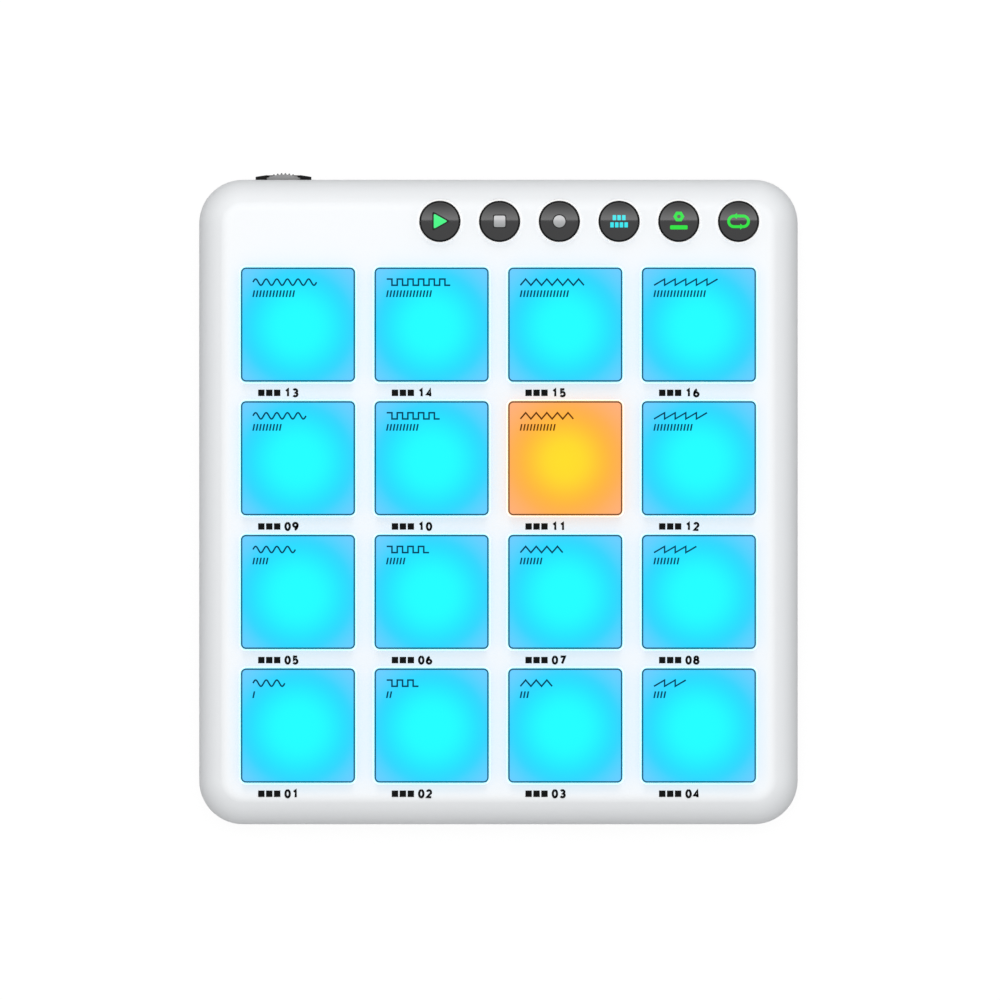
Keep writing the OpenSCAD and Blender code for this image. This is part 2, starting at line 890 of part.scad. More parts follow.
// Insulator inside the socket: block at the inner end with the contact tongue
module usb_tongue() {
    color("black")
        translate([usb_x, usb_mouth - usb_len + usb_sheet, usb_mid_z])
            rotate([-90, 0, 0]) {
                linear_extrude(tongue_block)
                    rounded_outline(usb_w - 2 * usb_sheet, usb_h - 2 * usb_sheet,
                        usb_corner - usb_sheet);
                translate([0, 0, tongue_block])
                    linear_extrude(usb_len - usb_sheet - tongue_block - tongue_back)
                        square([tongue_w, tongue_t], center = true);
            }
}

// Box that hangs under the board, middle at the given place
module under_board(size, place, drop) {
    translate([place[0] - size[0] / 2, place[1] - size[1] / 2, board_z - drop - size[2]])
        cube(size);
}

module controller_chip() {
    color("black")
        under_board(chip, chip_at, 0);
}

module wireless_module() {
    color(steel) {
        under_board(radio_card, radio_at, 0);
        under_board(radio_can, radio_at, radio_card[2]);
    }
}

module battery() {
    color("silver")
        translate(battery_at)
            rolled_slab(battery_size[0], battery_size[1], battery_corner, battery_z,
                battery_z + battery_size[2], battery_edge, battery_edge);
}

module battery_tape() {
    color("black")
        translate(battery_at)
            rounded_prism(battery_size[0] - 2 * battery_corner,
                battery_size[1] - 2 * battery_corner, battery_corner, floor_z, battery_z);
}

module battery_connector() {
    color("ivory")
        under_board([plug_w, plug_d, plug_h],
            [lead_x + 2 * lead_bend, lead_y + lead_run + plug_d / 2], 0);
}

// Two wires that run level, side by side, through a bend to the right and a bend back
module battery_lead() {
    color("firebrick")
        for (side = [-wire_pitch / 2, wire_pitch / 2]) {
            wire_end(lead_x + side, lead_y);
            translate([lead_x + lead_bend, lead_y + lead_end, lead_z])
                rotate(90)
                    wire_bend(lead_bend - side);
            translate([lead_x + lead_bend, lead_y + lead_end + 2 * lead_bend, lead_z])
                rotate(270)
                    wire_bend(lead_bend + side);
            wire_end(lead_x + 2 * lead_bend + side, lead_y + lead_end + 2 * lead_bend);
        }
}

module wire_end(x, y) {
    translate([x, y, lead_z])
        rotate([-90, 0, 0])
            cylinder(r = wire_r, h = lead_end);
}

module wire_bend(bend) {
    rotate_extrude(angle = 90)
        translate([bend, 0])
            circle(wire_r);
}

module case_screws() {
    color(steel)
        at_each_screw() {
            bar(head_r, seat_of_head - head_h, seat_of_head);
            bar(screw_r, seat_of_head - head_h / 2, screw_tip);
        }
}

module rubber_feet() {
    color("darkgray")
        for (spot = feet_spots)
            translate(spot)
                rotate_extrude()
                    edge_profile(rubber_r, 0, base_z + foot_sink, rubber_edge, 0);
}

top_shell();
bottom_shell();
pad_mat();
light_grid();
sensor_film();
main_board();
for (n = [1 : pad_count])
    pad(n);
for (k = [0 : keys - 1])
    key_cap(k);
for (k = [0 : keys - 1])
    key_plunger(k);
tact_switches();
pad_leds();
button_leds();
dial_wheel();
dial_bezel();
dial_encoder();
dial_screw();
usb_shell();
usb_tongue();
controller_chip();
wireless_module();
battery();
battery_tape();
battery_connector();
battery_lead();
case_screws();
rubber_feet();
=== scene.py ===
import math

import bpy
import numpy as np
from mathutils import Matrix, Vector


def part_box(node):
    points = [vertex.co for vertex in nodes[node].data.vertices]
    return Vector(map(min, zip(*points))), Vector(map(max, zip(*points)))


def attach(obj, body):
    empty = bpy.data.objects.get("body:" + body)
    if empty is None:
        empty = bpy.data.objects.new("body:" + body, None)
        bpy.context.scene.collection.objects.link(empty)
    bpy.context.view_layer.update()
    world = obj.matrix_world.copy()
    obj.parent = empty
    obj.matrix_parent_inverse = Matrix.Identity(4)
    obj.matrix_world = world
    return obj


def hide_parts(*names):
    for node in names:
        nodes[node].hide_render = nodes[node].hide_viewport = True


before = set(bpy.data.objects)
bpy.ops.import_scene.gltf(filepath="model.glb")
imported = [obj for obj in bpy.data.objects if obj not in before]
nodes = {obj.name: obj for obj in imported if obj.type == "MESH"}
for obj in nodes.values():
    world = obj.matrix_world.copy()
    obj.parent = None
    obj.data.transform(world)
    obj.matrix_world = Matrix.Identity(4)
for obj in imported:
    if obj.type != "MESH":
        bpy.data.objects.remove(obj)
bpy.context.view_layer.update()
scene = bpy.context.scene
scene.view_settings.view_transform = "Standard"
mm = 0.001
print("frame loaded:", len(nodes), "nodes")


# Camera straight above the face; frameWidth is what the picture spans at the height of the face
cameraView = {"lens": 1500.0, "sensor": 36.0, "frameWidth": 217.0, "aim": (0.34, 0.44)}
ringHeight = 0.3 * mm       # the rings round the keys are the highest part of the housing
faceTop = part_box("top_shell")[1].z - ringHeight


def nodeMiddle(node):
    # middle of a node's box seen from above, in millimetres
    low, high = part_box(node)
    return np.array([(low.x + high.x) / 2, (low.y + high.y) / 2]) / mm


def nodeTop(node):
    # highest point of a node, in millimetres
    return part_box(node)[1].z / mm


def addCamera(look):
    # distance = width of the frame times lens over sensor
    data = bpy.data.cameras.new("overheadCamera")
    data.lens = look["lens"]
    data.sensor_width = look["sensor"]
    camera = bpy.data.objects.new("overheadCamera", data)
    distance = look["frameWidth"] * look["lens"] / look["sensor"] * mm
    camera.location = (look["aim"][0] * mm, look["aim"][1] * mm, faceTop + distance)
    scene.collection.objects.link(camera)
    scene.camera = camera
    return camera


camera = addCamera(cameraView)
print("camera set", round(camera.location.z, 3), "m above the table")


# Shader helpers
noiseSpan = (0.3, 0.7)      # most of a noise lies between these


def addNode(tree, kind, inputs=None, **settings):
    # settings are the node's own properties, inputs the values of its sockets
    node = tree.nodes.new(kind)
    for key, value in settings.items():
        setattr(node, key, value)
    for key, value in (inputs or {}).items():
        node.inputs[key].default_value = value
    return node


def newMaterial(name, sockets):
    # plain surface with the given values in its sockets
    material = bpy.data.materials.new(name)
    material.use_nodes = True
    tree = material.node_tree
    shader = tree.nodes["Principled BSDF"]
    for key, value in sockets.items():
        shader.inputs[key].default_value = value
    return material, tree, shader


def addGrain(tree, shader, size, depth, detail=3.0):
    # bump from a noise whose lumps are size millimetres wide and depth millimetres deep
    place = addNode(tree, "ShaderNodeTexCoord")
    noise = addNode(tree, "ShaderNodeTexNoise", {"Scale": 1.0 / (size * mm), "Detail": detail})
    bump = addNode(tree, "ShaderNodeBump", {"Strength": 1.0, "Distance": depth * mm})
    tree.links.new(place.outputs["Object"], noise.inputs["Vector"])
    tree.links.new(noise.outputs["Fac"], bump.inputs["Height"])
    tree.links.new(bump.outputs["Normal"], shader.inputs["Normal"])
    return place


def addMottle(tree, shader, place, size, colours, roughness):
    # slow drift between two colours and two roughness values, patches size millimetres wide
    noise = addNode(tree, "ShaderNodeTexNoise", {"Scale": 1.0 / (size * mm), "Detail": 2.0})
    blend = addNode(tree, "ShaderNodeMix", data_type="RGBA")
    blend.inputs["A"].default_value = (*colours[0], 1.0)
    blend.inputs["B"].default_value = (*colours[1], 1.0)
    rough = addNode(tree, "ShaderNodeMapRange", {
        "From Min": noiseSpan[0], "From Max": noiseSpan[1],
        "To Min": roughness[0], "To Max": roughness[1]})
    tree.links.new(place.outputs["Object"], noise.inputs["Vector"])
    tree.links.new(noise.outputs["Fac"], blend.inputs["Factor"])
    tree.links.new(noise.outputs["Fac"], rough.inputs["Value"])
    tree.links.new(blend.outputs["Result"], shader.inputs["Base Color"])
    tree.links.new(rough.outputs["Result"], shader.inputs["Roughness"])
    return blend


def mottledFinish(name, look):
    # any finish of one colour: grain, a little drift in colour and gloss
    material, tree, shader = newMaterial(name, look.get("sockets", {}))
    place = addGrain(tree, shader, look["grain"], look["depth"])
    addMottle(tree, shader, place, look["patch"], look["colours"], look["roughness"])
    return material


finishes = {
    "shellWhite": {"colours": [(0.86, 0.875, 0.89), (0.845, 0.865, 0.885)], "patch": 40.0,
                   "roughness": (0.5, 0.58), "grain": 0.35, "depth": 0.004,
                   "sockets": {"Specular IOR Level": 0.07}},
    # bead round each key: painted whiter than the shell and given a faint glow, a painted highlight
    "ringPaintedHighlight": {"colours": [(0.97, 0.97, 0.97), (0.95, 0.955, 0.96)], "patch": 5.0,
                  "roughness": (0.3, 0.4), "grain": 0.4, "depth": 0.002,
                  "sockets": {"Emission Color": (1.0, 1.0, 1.0, 1.0), "Emission Strength": 0.08}},
    "keyBlack": {"colours": [(0.016, 0.016, 0.017), (0.02, 0.02, 0.021)], "patch": 6.0,
                 "roughness": (0.05, 0.08), "grain": 2.5, "depth": 0.0005},
    "rimBlack": {"colours": [(0.002, 0.002, 0.002), (0.004, 0.004, 0.004)], "patch": 2.0,
                 "roughness": (0.5, 0.6), "grain": 0.2, "depth": 0.002,
                 "sockets": {"Specular IOR Level": 0.03}},
    # dark sheet round the plain key symbols: painted shadow
    "seatBlack": {"colours": [(0.012, 0.012, 0.012), (0.016, 0.016, 0.016)], "patch": 2.0,
                  "roughness": (0.4, 0.5), "grain": 0.2, "depth": 0.001,
                  "sockets": {"Specular IOR Level": 0.1}},
    "bezelBlack": {"colours": [(0.002, 0.002, 0.002), (0.004, 0.004, 0.004)], "patch": 8.0,
                   "roughness": (0.35, 0.5), "grain": 0.3, "depth": 0.006,
                   "sockets": {"Specular IOR Level": 0.12}},
    "plungerGrey": {"colours": [(0.16, 0.16, 0.17), (0.2, 0.2, 0.2)], "patch": 3.0,
                    "roughness": (0.4, 0.5), "grain": 0.3, "depth": 0.004},
    "encoderGrey": {"colours": [(0.1, 0.1, 0.11), (0.13, 0.13, 0.13)], "patch": 4.0,
                    "roughness": (0.4, 0.55), "grain": 0.3, "depth": 0.004},
    "matSilicone": {"colours": [(0.6, 0.62, 0.62), (0.68, 0.68, 0.67)], "patch": 12.0,
                    "roughness": (0.55, 0.7), "grain": 0.4, "depth": 0.01},
    "gridWhite": {"colours": [(0.8, 0.8, 0.78), (0.84, 0.84, 0.82)], "patch": 15.0,
                  "roughness": (0.5, 0.65), "grain": 0.4, "depth": 0.008},
    "filmAmber": {"colours": [(0.5, 0.24, 0.03), (0.6, 0.3, 0.05)], "patch": 10.0,
                  "roughness": (0.25, 0.35), "grain": 1.0, "depth": 0.003},
    "boardGreen": {"colours": [(0.01, 0.09, 0.04), (0.02, 0.13, 0.06)], "patch": 5.0,
                   "roughness": (0.3, 0.45), "grain": 0.6, "depth": 0.01},
    "switchBlack": {"colours": [(0.015, 0.015, 0.015), (0.025, 0.025, 0.025)], "patch": 3.0,
                    "roughness": (0.4, 0.55), "grain": 0.3, "depth": 0.005},
    "lampWhite": {"colours": [(0.78, 0.77, 0.68), (0.84, 0.83, 0.76)], "patch": 2.0,
                  "roughness": (0.2, 0.3), "grain": 0.5, "depth": 0.003},
    "screwSteel": {"colours": [(0.5, 0.5, 0.51), (0.6, 0.6, 0.61)], "patch": 1.5,
                   "roughness": (0.25, 0.4), "grain": 0.12, "depth": 0.003,
                   "sockets": {"Metallic": 1.0}},
    "socketSteel": {"colours": [(0.62, 0.62, 0.63), (0.7, 0.7, 0.7)], "patch": 3.0,
                    "roughness": (0.18, 0.3), "grain": 0.15, "depth": 0.002,
                    "sockets": {"Metallic": 1.0}},
    "contactGold": {"colours": [(0.85, 0.6, 0.22), (0.9, 0.66, 0.3)], "patch": 0.8,
                    "roughness": (0.2, 0.3), "grain": 0.1, "depth": 0.001,
                    "sockets": {"Metallic": 1.0}},
    "tongueBlack": {"colours": [(0.012, 0.012, 0.012), (0.02, 0.02, 0.02)], "patch": 2.0,
                    "roughness": (0.35, 0.5), "grain": 0.2, "depth": 0.003},
    "chipBlack": {"colours": [(0.02, 0.02, 0.022), (0.03, 0.03, 0.03)], "patch": 2.0,
                  "roughness": (0.5, 0.6), "grain": 0.15, "depth": 0.005},
    "shieldTin": {"colours": [(0.55, 0.56, 0.57), (0.63, 0.63, 0.63)], "patch": 4.0,
                  "roughness": (0.3, 0.42), "grain": 0.4, "depth": 0.004,
                  "sockets": {"Metallic": 1.0}},
    "cellFoil": {"colours": [(0.6, 0.61, 0.62), (0.68, 0.68, 0.69)], "patch": 9.0,
                 "roughness": (0.35, 0.5), "grain": 1.4, "depth": 0.03,
                 "sockets": {"Metallic": 0.6}},
    "tapeBlack": {"colours": [(0.015, 0.015, 0.016), (0.025, 0.025, 0.025)], "patch": 4.0,
                  "roughness": (0.7, 0.85), "grain": 0.4, "depth": 0.02},
    "plugIvory": {"colours": [(0.7, 0.66, 0.52), (0.75, 0.71, 0.58)], "patch": 3.0,
                  "roughness": (0.4, 0.5), "grain": 0.3, "depth": 0.004},
    "wireRed": {"colours": [(0.45, 0.02, 0.015), (0.55, 0.03, 0.02)], "patch": 3.0,
                "roughness": (0.35, 0.45), "grain": 0.3, "depth": 0.003},
    "footRubber": {"colours": [(0.045, 0.046, 0.048), (0.06, 0.06, 0.062)], "patch": 3.0,
                   "roughness": (0.7, 0.85), "grain": 0.25, "depth": 0.02},
    "printBlack": {"colours": [(0.003, 0.003, 0.003), (0.006, 0.006, 0.006)], "patch": 1.0,
                   "roughness": (0.5, 0.6), "grain": 0.1, "depth": 0.001,
                   "sockets": {"Specular IOR Level": 0.05}},
    "printTeal": {"colours": [(0.0, 0.04, 0.08), (0.0, 0.055, 0.1)], "patch": 1.0,
                  "roughness": (0.5, 0.6), "grain": 0.1, "depth": 0.001,
                  "sockets": {"Specular IOR Level": 0.05}},
    "printBrown": {"colours": [(0.09, 0.03, 0.002), (0.12, 0.045, 0.004)], "patch": 1.0,
                   "roughness": (0.5, 0.6), "grain": 0.1, "depth": 0.001,
                   "sockets": {"Specular IOR Level": 0.05}},
}
made = {name: mottledFinish(name, look) for name, look in finishes.items()}


# Lit silicone: the light comes up from one lamp under the middle of the pad, so its colour
# runs from the middle outwards; the sides are painted dimmer the deeper they stand in the window, painted
# shade in the gap round the pad
litPads = {
    "padCyan": {"base": (0.0, 0.04, 0.06, 1.0),
                "ramp": [(0.0, (0.0, 0.95, 0.97)), (0.36, (0.0, 0.93, 0.97)), (0.54, (0.001, 0.86, 0.97)),
                         (0.74, (0.002, 0.73, 0.97)), (0.92, (0.01, 0.63, 0.97)),
                         (1.06, (0.03, 0.6, 0.97)), (1.3, (0.13, 0.56, 0.96))]},
    "padOrange": {"base": (0.08, 0.04, 0.0, 1.0),
                  "ramp": [(0.0, (0.97, 0.68, 0.008)), (0.3, (0.97, 0.66, 0.01)),
                           (0.52, (0.97, 0.54, 0.018)), (0.74, (0.97, 0.42, 0.03)),
                           (0.92, (0.97, 0.38, 0.06)), (1.06, (0.97, 0.37, 0.09)),
                           (1.3, (0.95, 0.38, 0.18))]},
}
# deep, deepBelow and litAbove paint the sides' glow down below the face: painted shade in the gap round the
# pad
padGlow = {"rampEnd": 1.4, "shift": -0.5, "strength": 1.0, "deep": 0.2, "deepBelow": -0.6,
           "litAbove": 1.0, "roughness": 0.55, "specular": 0.22, "grain": 0.5, "depth": 0.006}


def litSilicone(name, look):
    # colour of the light by distance from the pad's middle, its strength by height
    material, tree, shader = newMaterial(name, {
        "Base Color": look["base"], "Roughness": padGlow["roughness"],
        "Specular IOR Level": padGlow["specular"]})
    place = addGrain(tree, shader, padGlow["grain"], padGlow["depth"])
    # distance from the middle of the pad, in half sides, from the pad's own map
    padMap = addNode(tree, "ShaderNodeUVMap", uv_map="padMap")
    reach = addNode(tree, "ShaderNodeVectorMath", operation="LENGTH")
    share = addNode(tree, "ShaderNodeMath", {1: padGlow["rampEnd"]}, operation="DIVIDE")
    ramp = addNode(tree, "ShaderNodeValToRGB")
    ramp.color_ramp.interpolation = "B_SPLINE"
    stops = ramp.color_ramp.elements
    while len(stops) < len(look["ramp"]):
        stops.new(1.0)
    for stop, (where, rgb) in zip(stops, look["ramp"]):
        stop.position = where / padGlow["rampEnd"]
        stop.color = (*rgb, 1.0)
    tree.links.new(padMap.outputs["UV"], reach.inputs[0])
    tree.links.new(reach.outputs["Value"], share.inputs[0])
    tree.links.new(share.outputs["Value"], ramp.inputs["Fac"])
    tree.links.new(ramp.outputs["Color"], shader.inputs["Emission Color"])
    # painted shade: less light leaves the sides below the face, so the gap round the pad reads dark
    height = addNode(tree, "ShaderNodeSeparateXYZ")
    lit = addNode(tree, "ShaderNodeMapRange", {
        "From Min": faceTop + padGlow["deepBelow"] * mm, "From Max": faceTop + padGlow["litAbove"] * mm,
        "To Min": padGlow["deep"], "To Max": padGlow["strength"]}, interpolation_type="SMOOTHSTEP")
    tree.links.new(place.outputs["Object"], height.inputs["Vector"])
    tree.links.new(height.outputs["Z"], lit.inputs["Value"])
    tree.links.new(lit.outputs["Result"], shader.inputs["Emission Strength"])
    return material


# Lit symbols in the keys
# rear and front: colours at the rear and the front of a symbol; the difference between them is a painted
# reflection
symbolLight = {
    "symbolGreen": {"rear": (0.055, 0.83, 0.22), "front": (0.07, 0.83, 0.225), "gloss": 0.1},
    "symbolLeaf": {"rear": (0.028, 0.71, 0.063), "front": (0.028, 0.69, 0.05), "gloss": 0.1},
    "symbolGrey": {"rear": (0.5, 0.5, 0.51), "front": (0.27, 0.28, 0.285), "gloss": 0.5},
    "symbolCyan": {"rear": (0.065, 0.73, 0.77), "front": (0.035, 0.73, 0.79), "gloss": 0.1},
}
symbolFade = {"reach": 0.9, "drift": 0.2, "patch": 0.7, "base": 0.1, "roughness": 0.08,
              "grain": 1.2, "depth": 0.0005}


def litSymbol(name, look):
    # lit from behind; the rear of each symbol is painted brighter than its front, a painted reflection of
    # the lamp panel over the rear edge, and the colour drifts a little
    material, tree, shader = newMaterial(name, {
        "Base Color": (*[symbolFade["base"] * c for c in look["front"]], 1.0),
        "Roughness": symbolFade["roughness"], "Specular IOR Level": look["gloss"],
        "Emission Strength": 1.0})
    place = addGrain(tree, shader, symbolFade["grain"], symbolFade["depth"])
    middle, reach = nodeMiddle("play_button")[1] * mm, symbolFade["reach"] * mm
    split = addNode(tree, "ShaderNodeSeparateXYZ")
    paintedSheen = addNode(tree, "ShaderNodeMapRange", {
        "From Min": middle - reach, "From Max": middle + reach})
    noise = addNode(tree, "ShaderNodeTexNoise", {
        "Scale": 1.0 / (symbolFade["patch"] * mm), "Detail": 1.0})
    share = addNode(tree, "ShaderNodeMix", {"Factor": symbolFade["drift"]}, data_type="FLOAT")
    blend = addNode(tree, "ShaderNodeMix", data_type="RGBA")
    blend.inputs["A"].default_value = (*look["front"], 1.0)
    blend.inputs["B"].default_value = (*look["rear"], 1.0)
    tree.links.new(place.outputs["Object"], split.inputs["Vector"])
    tree.links.new(place.outputs["Object"], noise.inputs["Vector"])
    tree.links.new(split.outputs["Y"], paintedSheen.inputs["Value"])
    tree.links.new(paintedSheen.outputs["Result"], share.inputs["A"])
    tree.links.new(noise.outputs["Fac"], share.inputs["B"])
    tree.links.new(share.outputs["Result"], blend.inputs["Factor"])
    tree.links.new(blend.outputs["Result"], shader.inputs["Emission Color"])
    return material


# Thumb wheel: grey disc that is dark on its toothed rim
wheelLook = {"disc": (0.28, 0.28, 0.285, 1.0), "teethDark": (0.03, 0.03, 0.031, 1.0),
             "darkFrom": 8.68, "darkTo": 8.86, "roughness": 0.5, "grain": 0.3, "depth": 0.006}


def wheelFinish(name, look):
    # disc turns dark between two distances from the wheel's axis
    low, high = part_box("dial_wheel")
    middle = (low + high) / 2
    material, tree, shader = newMaterial(name, {"Roughness": look["roughness"]})
    place = addGrain(tree, shader, look["grain"], look["depth"])
    centred = addNode(tree, "ShaderNodeMapping")
    centred.inputs["Location"].default_value = (-middle.x, -middle.y, -middle.z)
    flat = addNode(tree, "ShaderNodeVectorMath", {1: (1.0, 1.0, 0.0)}, operation="MULTIPLY")
    reach = addNode(tree, "ShaderNodeVectorMath", operation="LENGTH")
    share = addNode(tree, "ShaderNodeMapRange", {
        "From Min": look["darkFrom"] * mm, "From Max": look["darkTo"] * mm})
    blend = addNode(tree, "ShaderNodeMix", data_type="RGBA")
    blend.inputs["A"].default_value = look["disc"]
    blend.inputs["B"].default_value = look["teethDark"]
    tree.links.new(place.outputs["Object"], centred.inputs["Vector"])
    tree.links.new(centred.outputs["Vector"], flat.inputs[0])
    tree.links.new(flat.outputs["Vector"], reach.inputs[0])
    tree.links.new(reach.outputs["Value"], share.inputs["Value"])
    tree.links.new(share.outputs["Result"], blend.inputs["Factor"])
    tree.links.new(blend.outputs["Result"], shader.inputs["Base Color"])
    return material


# Lips of the windows: painted light, the pad's glow on the white moulding round each window is painted on
# as emission
lipPaintedGlow = {"lipPaintedCyan": (0.2, 0.62, 0.66), "lipPaintedOrange": (0.7, 0.5, 0.28)}
lipDrift = {"patch": 6.0, "glowPatch": 9.0, "dim": 0.85, "bright": 1.1}


def paintedGlowLip(name, glow):
    # the face's own white, with the pad's light painted on as a glow in slow patches
    face = finishes["shellWhite"]
    material, tree, shader = newMaterial(name, {"Emission Strength": 1.0})
    place = addGrain(tree, shader, face["grain"], face["depth"])
    addMottle(tree, shader, place, lipDrift["patch"], face["colours"], face["roughness"])
    noise = addNode(tree, "ShaderNodeTexNoise", {
        "Scale": 1.0 / (lipDrift["glowPatch"] * mm), "Detail": 1.0})
    blend = addNode(tree, "ShaderNodeMix", data_type="RGBA")
    blend.inputs["A"].default_value = (*[lipDrift["dim"] * c for c in glow], 1.0)
    blend.inputs["B"].default_value = (*[lipDrift["bright"] * c for c in glow], 1.0)
    tree.links.new(place.outputs["Object"], noise.inputs["Vector"])
    tree.links.new(noise.outputs["Fac"], blend.inputs["Factor"])
    tree.links.new(blend.outputs["Result"], shader.inputs["Emission Color"])
    return material


made.update({name: paintedGlowLip(name, glow) for name, glow in lipPaintedGlow.items()})
made.update({name: litSilicone(name, look) for name, look in litPads.items()})
made.update({name: litSymbol(name, look) for name, look in symbolLight.items()})
made["wheelGrey"] = wheelFinish("wheelGrey", wheelLook)
print("finishes made:", len(made))


# Which finish each node of the frame keeps
keyNames = ["play", "stop", "record", "bank", "shift", "repeat"]
padNumbers = range(1, 17)
padsInRow = 4
orangePad = 11
nodeFinish = {
    "top_shell": "shellWhite", "bottom_shell": "shellWhite", "pad_mat": "matSilicone",
    "light_grid": "gridWhite", "sensor_film": "filmAmber", "main_board": "boardGreen",
    "tact_switches": "switchBlack", "pad_leds": "lampWhite", "button_leds": "lampWhite",
    "dial_wheel": "wheelGrey", "dial_bezel": "bezelBlack", "dial_encoder": "encoderGrey",
    "dial_screw": "screwSteel", "usb_shell": "socketSteel", "usb_tongue": "tongueBlack",
    "controller_chip": "chipBlack", "wireless_module": "shieldTin", "battery": "cellFoil",
    "battery_tape": "tapeBlack", "battery_connector": "plugIvory", "battery_lead": "wireRed",
    "case_screws": "screwSteel", "rubber_feet": "footRubber",
}
nodeFinish.update({f"{key}_plunger": "plungerGrey" for key in keyNames})
nodeFinish.update({f"{key}_button": "keyBlack" for key in keyNames})
nodeFinish.update({f"pad_{n}": "padOrange" if n == orangePad else "padCyan" for n in padNumbers})
for nodeName, finish in nodeFinish.items():
    for slot in nodes[nodeName].material_slots:
        slot.material = made[finish]
print("node finishes set:", len(nodeFinish))


# Mesh helpers
def gridFaces(rows, columns, loop=True):
    # quads between neighbouring rows and columns; a loop joins the last column to the first
    row = np.arange(rows - 1)[:, None] * columns
    column = np.arange(columns if loop else columns - 1)[None, :]
    beside = (column + 1) % columns
    above = row + columns
    quads = np.stack([row + column, row + beside, above + beside, above + column], -1)
    return quads.reshape(-1, 4)


def closeRings(rings):
    # rings run from the lower pole outwards, up and in to the upper pole, each counter-clockwise;
    # the first and the last are closed by a fan to their mean point
    rows, columns = rings.shape[:2]
    points = np.concatenate([rings.reshape(-1, 3), rings[[0, -1]].mean(axis=1)])
    step = np.arange(columns)
    beside = (step + 1) % columns
    last = (rows - 1) * columns
    lowFan = np.stack([np.full(columns, rows * columns), beside, step], -1)
    highFan = np.stack([np.full(columns, rows * columns + 1), last + step, last + beside], -1)
    return points, [gridFaces(rows, columns), np.concatenate([lowFan, highFan])]


def joinRings(rings):
    # rings run round a closed section, from its inner lower edge outwards and up; the last joins the first
    rows, columns = rings.shape[:2]
    return rings.reshape(-1, 3), [gridFaces(rows + 1, columns) % (rows * columns)]


def addPiece(name, parts, finish, body, replaced=(), sharpAngle=40.0):
    # parts is a list of (points, list of face arrays), all in metres in the frame; they become one mesh
    counts = [len(points) for points, _ in parts]
    starts = np.cumsum([0] + counts[:-1])
    points = np.concatenate([points for points, _ in parts])
    blocks = [faces + start for (_, group), start in zip(parts, starts) for faces in group]
    corners = np.concatenate([block.ravel() for block in blocks])
    sizes = np.concatenate([np.full(len(block), block.shape[1]) for block in blocks])
    mesh = bpy.data.meshes.new(name)
    mesh.vertices.add(len(points))
    mesh.vertices.foreach_set("co", points.ravel())
    mesh.loops.add(len(corners))
    mesh.loops.foreach_set("vertex_index", corners)
    mesh.polygons.add(len(sizes))
    mesh.polygons.foreach_set("loop_start", np.cumsum(sizes) - sizes)
    mesh.polygons.foreach_set("use_smooth", np.ones(len(sizes), bool))
    mesh.update(calc_edges=True)
    mesh.set_sharp_from_angle(angle=math.radians(sharpAngle))
    mesh.materials.append(made[finish])
    piece = bpy.data.objects.new(name, mesh)
    scene.collection.objects.link(piece)
    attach(piece, body)
    if replaced:
        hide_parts(*replaced)
    return piece


# Pads: a rounded square carried up a profile of half sides and heights
padShape = {"side": 24.1, "corner": 0.75, "edge": 0.6, "crown": 0.05, "lower": 0.06,
            "flange": 27.0, "flangeCorner": 1.1, "flangeLow": 15.4, "flangeHigh": 16.6,
            "cornerSteps": 8, "edgeSteps": 8, "crownRings": 10, "underside": 1.0, "pole": 0.02,
            "leastCorner": 0.12}


def squareRings(half, corner, height, steps):
    # ring point = corner centre of its quadrant + corner radius times (cos, sin); one row per height
    angle = np.concatenate([np.linspace(0, 90, steps + 1) + turn for turn in (0, 90, 180, 270)])
    side = np.repeat([[1, 1], [-1, 1], [-1, -1], [1, -1]], steps + 1, axis=0)
    outward = np.stack([np.cos(np.radians(angle)), np.sin(np.radians(angle))], -1)
    flat = (half - corner)[:, None, None] * side + corner[:, None, None] * outward
    return np.concatenate([flat, np.broadcast_to(height[:, None, None], flat.shape[:2] + (1,))], -1)


def padPart(look, middle, top):
    # half sides and heights of the rings: edge radius times (cos, sin) round the edge, crown by the square
    half, edge = look["side"] / 2, look["edge"]
    bend = np.radians(np.linspace(0, 90, look["edgeSteps"] + 1))
    inward = np.linspace(1, look["pole"], look["crownRings"])[1:]
    flatHalf, flangeHalf = half - edge, look["flange"] / 2
    # lower face, flange, side, rounded edge, and a top that rises by the crown towards its middle
    halves = np.concatenate([[look["underside"], flangeHalf, flangeHalf, half],
                             half - edge + edge * np.cos(bend), flatHalf * inward])
    heights = np.concatenate([np.repeat([look["flangeLow"], look["flangeHigh"]], 2),
                              top - look["crown"] - edge + edge * np.sin(bend),
                              top - look["crown"] * inward ** 2])
    corners = np.clip(look["corner"] - (half - halves), look["leastCorner"], None)
    corners[:3] = np.minimum(look["flangeCorner"], halves[:3] / 2)
    corners = np.minimum(corners, halves)
    rings = squareRings(halves, corners, heights, look["cornerSteps"])
    rings[..., :2] += middle
    return closeRings(rings * mm)


def addPad(number):
    # a pad on the place of its node
    node = f"pad_{number}"
    middle = nodeMiddle(node)
    part = padPart(padShape, middle, nodeTop(node) - padShape["lower"])
    finish = "padOrange" if number == orangePad else "padCyan"
    piece = addPiece(f"litPad{number}", [part], finish, node, [node])
    # the pad's own map: distance from the middle of its light, in half sides
    where = np.empty(len(piece.data.loops), np.int32)
    piece.data.loops.foreach_get("vertex_index", where)
    local = (part[0][where, :2] / mm - middle - [0, padGlow["shift"]]) / (padShape["side"] / 2)
    padMap = piece.data.uv_layers.new(name="padMap")
    padMap.data.foreach_set("uv", local.astype(np.float32).ravel())
    return piece


for number in padNumbers:
    addPad(number)
print("pads made:", len(padNumbers))


# Lips: a thin skin on the rounded edge of each window
lipShape = {"window": 24.8, "corner": 1.1, "radius": 0.35, "lift": 0.012, "sink": 0.12,
            "steps": 6, "cornerSteps": 8}


def framePart(halves, corners, heights, middle, steps):
    # rounded square carried round a closed profile: the last row joins the first
    rings = squareRings(halves, corners, heights, steps)
    rings[..., :2] += middle
    return joinRings(rings * mm)


